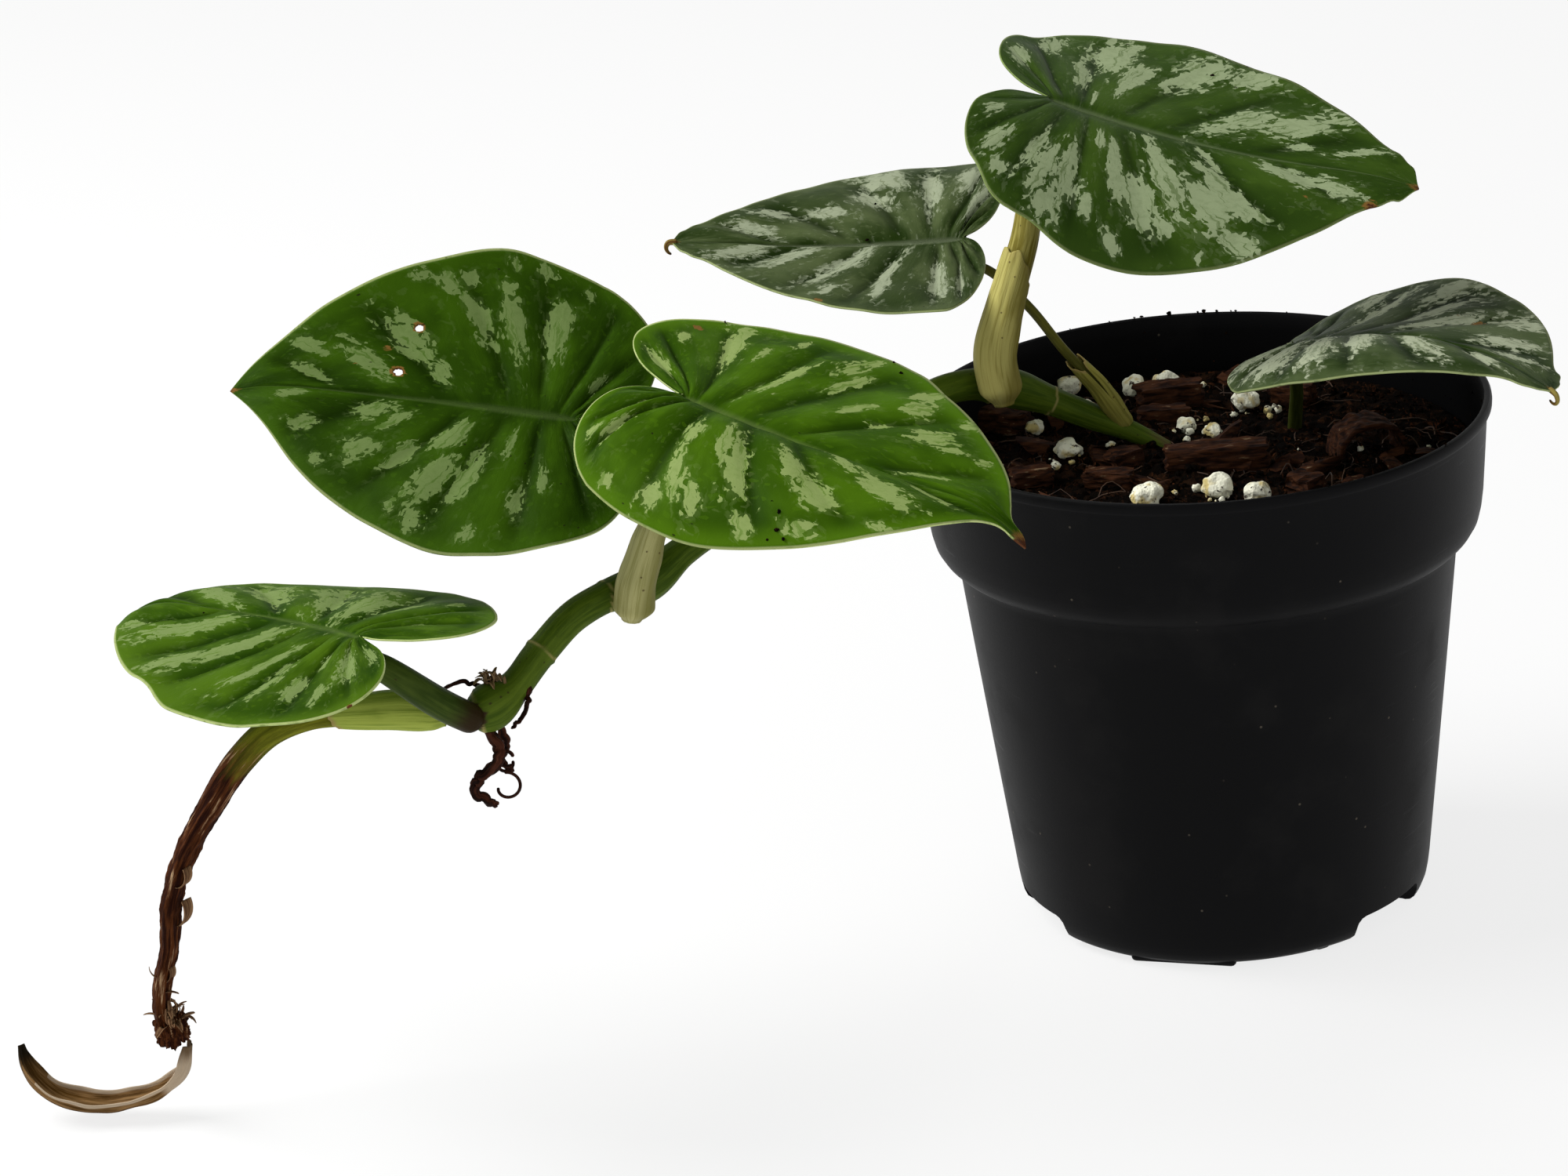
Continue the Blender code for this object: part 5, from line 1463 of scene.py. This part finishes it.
def makeBud(finish):
    bud, places = newBall(withered["budRadius"], 5)
    crease = wobble(places * (1.4, 1.4, 0.5), 1.9, 0, 4)
    movePoints(bud, places * (0.9 + 0.30 * crease)[:, None] * (1.0, 0.9, 1.15))
    places = pointsOf(bud)
    paint(bud, "grain", places / mm)
    paint(bud, "run", np.full(len(places), 0.9))
    bud.data.transform(Matrix.Translation(onDesign(withered["bud"])))
    keep(bud, "bud_knot", "dead_stem", "withered_bud", finishes=[finish])


def makeFrays():
    chance = random.Random(71)
    strips = []
    x, y, z = withered["bud"]
    for _ in range(withered["strips"]):
        turn = anyTurn(chance)
        out = turn @ Vector((0, 1, 0))
        spot = (x + out.x * 3.2, y + out.y * 2.8, z + out.z * 3.6 + 0.6)
        strips.append(dryStrip(spot, turn, (chance.uniform(2.2, 5.0), chance.uniform(0.5, 1.7)), chance))
    for place, ahead, size in withered["loose"]:
        strips.append(dryStrip(place, Vector(ahead).to_track_quat("Y", "Z"), size, chance))
    dry = drySheet("dryStrips", withered["fray"])
    keep(gather("shoot_frays", strips), "shoot_frays", "dry_sheath", finishes=[dry])


def makeHusk():
    path = layPath(withered["curl"])
    curl, around, share = newSheet(40, 110)
    arc = share * path["length"]
    ragged = 1 + 0.12 * roughAt(share * 7, around > 0, 4.0)
    turn = math.pi / 2 + around * (1.25 * ragged) * (1 - 0.35 * ease(share, 0.85, 1.0))
    rough = 0.05 * np.cos(turn * 9) + 0.10 * roughAt(around * 2, share * 9, 2.0)
    radius = along(path, "radius", arc) * (1 + rough)
    movePoints(curl, aroundPath(path, arc, turn, radius))
    paint(curl, "grain", np.column_stack([np.cos(turn) * 3, np.sin(turn) * 3, arc / mm]))
    paint(curl, "run", share)
    edge = np.exp(-((1 - np.abs(around)) / 0.20) ** 2) * (share < 0.82)
    paint(curl, "rim", np.maximum(edge, np.exp(-((share - 0.10) / 0.16) ** 2)))
    change(curl, "SOLIDIFY", thickness=withered["huskWall"] * mm, offset=0.0)
    paper = drySheet("dryPaper", withered["husk"])
    keep(curl, "curled_husk", "dry_sheath", "curled_sheath", finishes=[paper])


def makeWithered():
    tones = [withered[key] for key in ("green", "brown", "dark", "straw")]
    finish = dryFibre("witheredStem", tones, withered["turnsAt"])
    makeShoot(finish)
    makeBud(finish)
    makeFrays()
    makeHusk()


def makeDrips():  # the dried points that curl from two of the tips
    for name, (turn, length, radius) in drips.items():
        tip = leafSpot(leaves[name], 1, 1.0, 0.0)[0] / mm - Vector((0, 0, lift))
        back = leafSpot(leaves[name], 1, 0.97, 0.0)[0] / mm - Vector((0, 0, lift))
        ahead = (tip - back).normalized()
        route = [(*(tip - ahead * 1.6), radius)]
        for step in range(1, 6):
            angle = math.radians(turn) * step / 5
            down = Vector((0, 0, -1)) * math.sin(angle) + ahead * math.cos(angle)
            tip = tip + down * length / 5
            route.append((*tip, radius * (1 - 0.13 * step)))
        piece = rollStalk(route, 12, 0.25)
        keep(piece, "drip_" + name, "leaf_dark", finishes=[drySheet("drySkin_" + name, blade["dryTip"])])


makeWithered()
makeDrips()
print("withered shoot made")


# dried aerial roots, the tuft above them, and the live roots in the mix
driedRoots = {
    "long": (
        (-160.6, -79.6, 87.0, 1.3), (-158.2, -81.4, 81.8, 1.1), (-159.3, -82.0, 78.8, 1.2),
        (-162.6, -82.0, 76.2, 1.1), (-164.2, -82.0, 73.2, 1.0), (-161.8, -82.0, 70.6, 0.9),
        (-159.4, -82.4, 69.8, 0.6),
    ),
    "curl": (
        (-158.6, -77.0, 87.0, 1.0), (-156.8, -76.6, 80.8, 0.7), (-158.0, -76.8, 77.6, 0.6),
        (-156.4, -77.0, 75.0, 0.5),
    ),
    "thread": (
        (-159.4, -75.8, 91.6, 0.6), (-162.8, -72.6, 93.8, 0.45), (-166.8, -72.4, 94.0, 0.4),
        (-170.0, -72.8, 92.4, 0.35),
    ),
    "hook": (
        (-151.4, -74.0, 95.0, 0.6), (-151.2, -77.8, 91.0, 0.5), (-152.8, -79.6, 87.8, 0.45),
        (-155.0, -81.8, 86.8, 0.35),
    ),
}
rootTones = {
    "dried": ((0.02, 0.01, 0.006), (0.055, 0.016, 0.008), (0.010, 0.004, 0.003), (0.13, 0.055, 0.03)),
    "tuft": ((0.30, 0.20, 0.10), (0.09, 0.045, 0.02), (0.03, 0.015, 0.008)), "live": (0.20, 0.13, 0.07),
    "liveTip": (0.48, 0.38, 0.24),
}
ringlets = (
    ((-157.0, -78.6, 78.4), 1.9, 0.42, 0.2), ((-157.6, -78.0, 76.6), 1.5, 0.36, 1.6),
    ((-157.4, -80.5, 72.6), 2.6, 0.35, 3.0),
)


def makeRoots():
    def shrink(turn, arc, share):
        return 1 + 0.22 * np.cos(turn * 3 + arc * 0.7) + 0.25 * roughAt(np.cos(turn), np.sin(turn), arc / 1.4)
    finish = dryFibre("driedRoot", rootTones["dried"], -1.0)
    for number, (name, route) in enumerate(driedRoots.items()):
        line = smoothed(route, 5)
        steps = np.arange(len(line))
        kink = np.column_stack([roughAt(steps * 0.9, axis * 5.0, number * 9.0) for axis in range(3)])
        line[:, :3] += kink * 0.75 * ease(steps, 0, 3)[:, None]
        piece = rollStalk(line, 14, 0.2, shrink)
        keep(piece, "aerial_root_" + name, "dried_root", "dried_root_" + name, finishes=[finish])
    rings = []
    for (x, y, z), size, thick, phase in ringlets:
        line = []
        for step in range(12):
            turn, grown = phase + step / 11 * 5.0, size * (0.75 + 0.04 * step)
            line.append((x + grown * math.cos(turn), y + step * 0.12, z + grown * math.sin(turn), thick))
        rings.append(rollStalk(line, 10, 0.2))
    keep(gather("root_ringlets", rings), "root_ringlets", "dried_root", finishes=[finish])


def makeTuft():
    chance = random.Random(83)
    tuft = []
    for _ in range(22):
        turn = Vector((chance.gauss(0.1, 0.6), chance.gauss(-0.2, 0.6), 1)).to_track_quat("Y", "Z")
        spot = (-158.6 + chance.gauss(0, 1.1), -76.8 + chance.gauss(0, 0.9), 95.4 + chance.gauss(0, 0.6))
        tuft.append(dryStrip(spot, turn, (chance.uniform(1.8, 3.8), chance.uniform(0.5, 1.5)), chance))
    dry = drySheet("dryTuft", rootTones["tuft"])
    keep(gather("node_tuft", tuft), "node_tuft", "dry_sheath", finishes=[dry])


def colourLiveRoots():  # the four in the mix keep their CAD shapes
    made, wire, shader = newFinish("liveRoot")
    skin = wire.clouds(wire.here(), 0.8 * mm, 3.0)
    tone = wire.ramp(skin, (0.35, rootTones["live"]), (0.65, rootTones["liveTip"]))
    wear(shader, Base_Color=tone, Roughness=0.75, Normal=wire.bump(skin, 0.2 * mm, 0.6))
    for name in ("root_front", "root_left", "root_back", "root_near"):
        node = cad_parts[name]
        node.data.materials.clear()
        node.data.materials.append(made)


makeRoots()
makeTuft()
colourLiveRoots()
print("roots made")
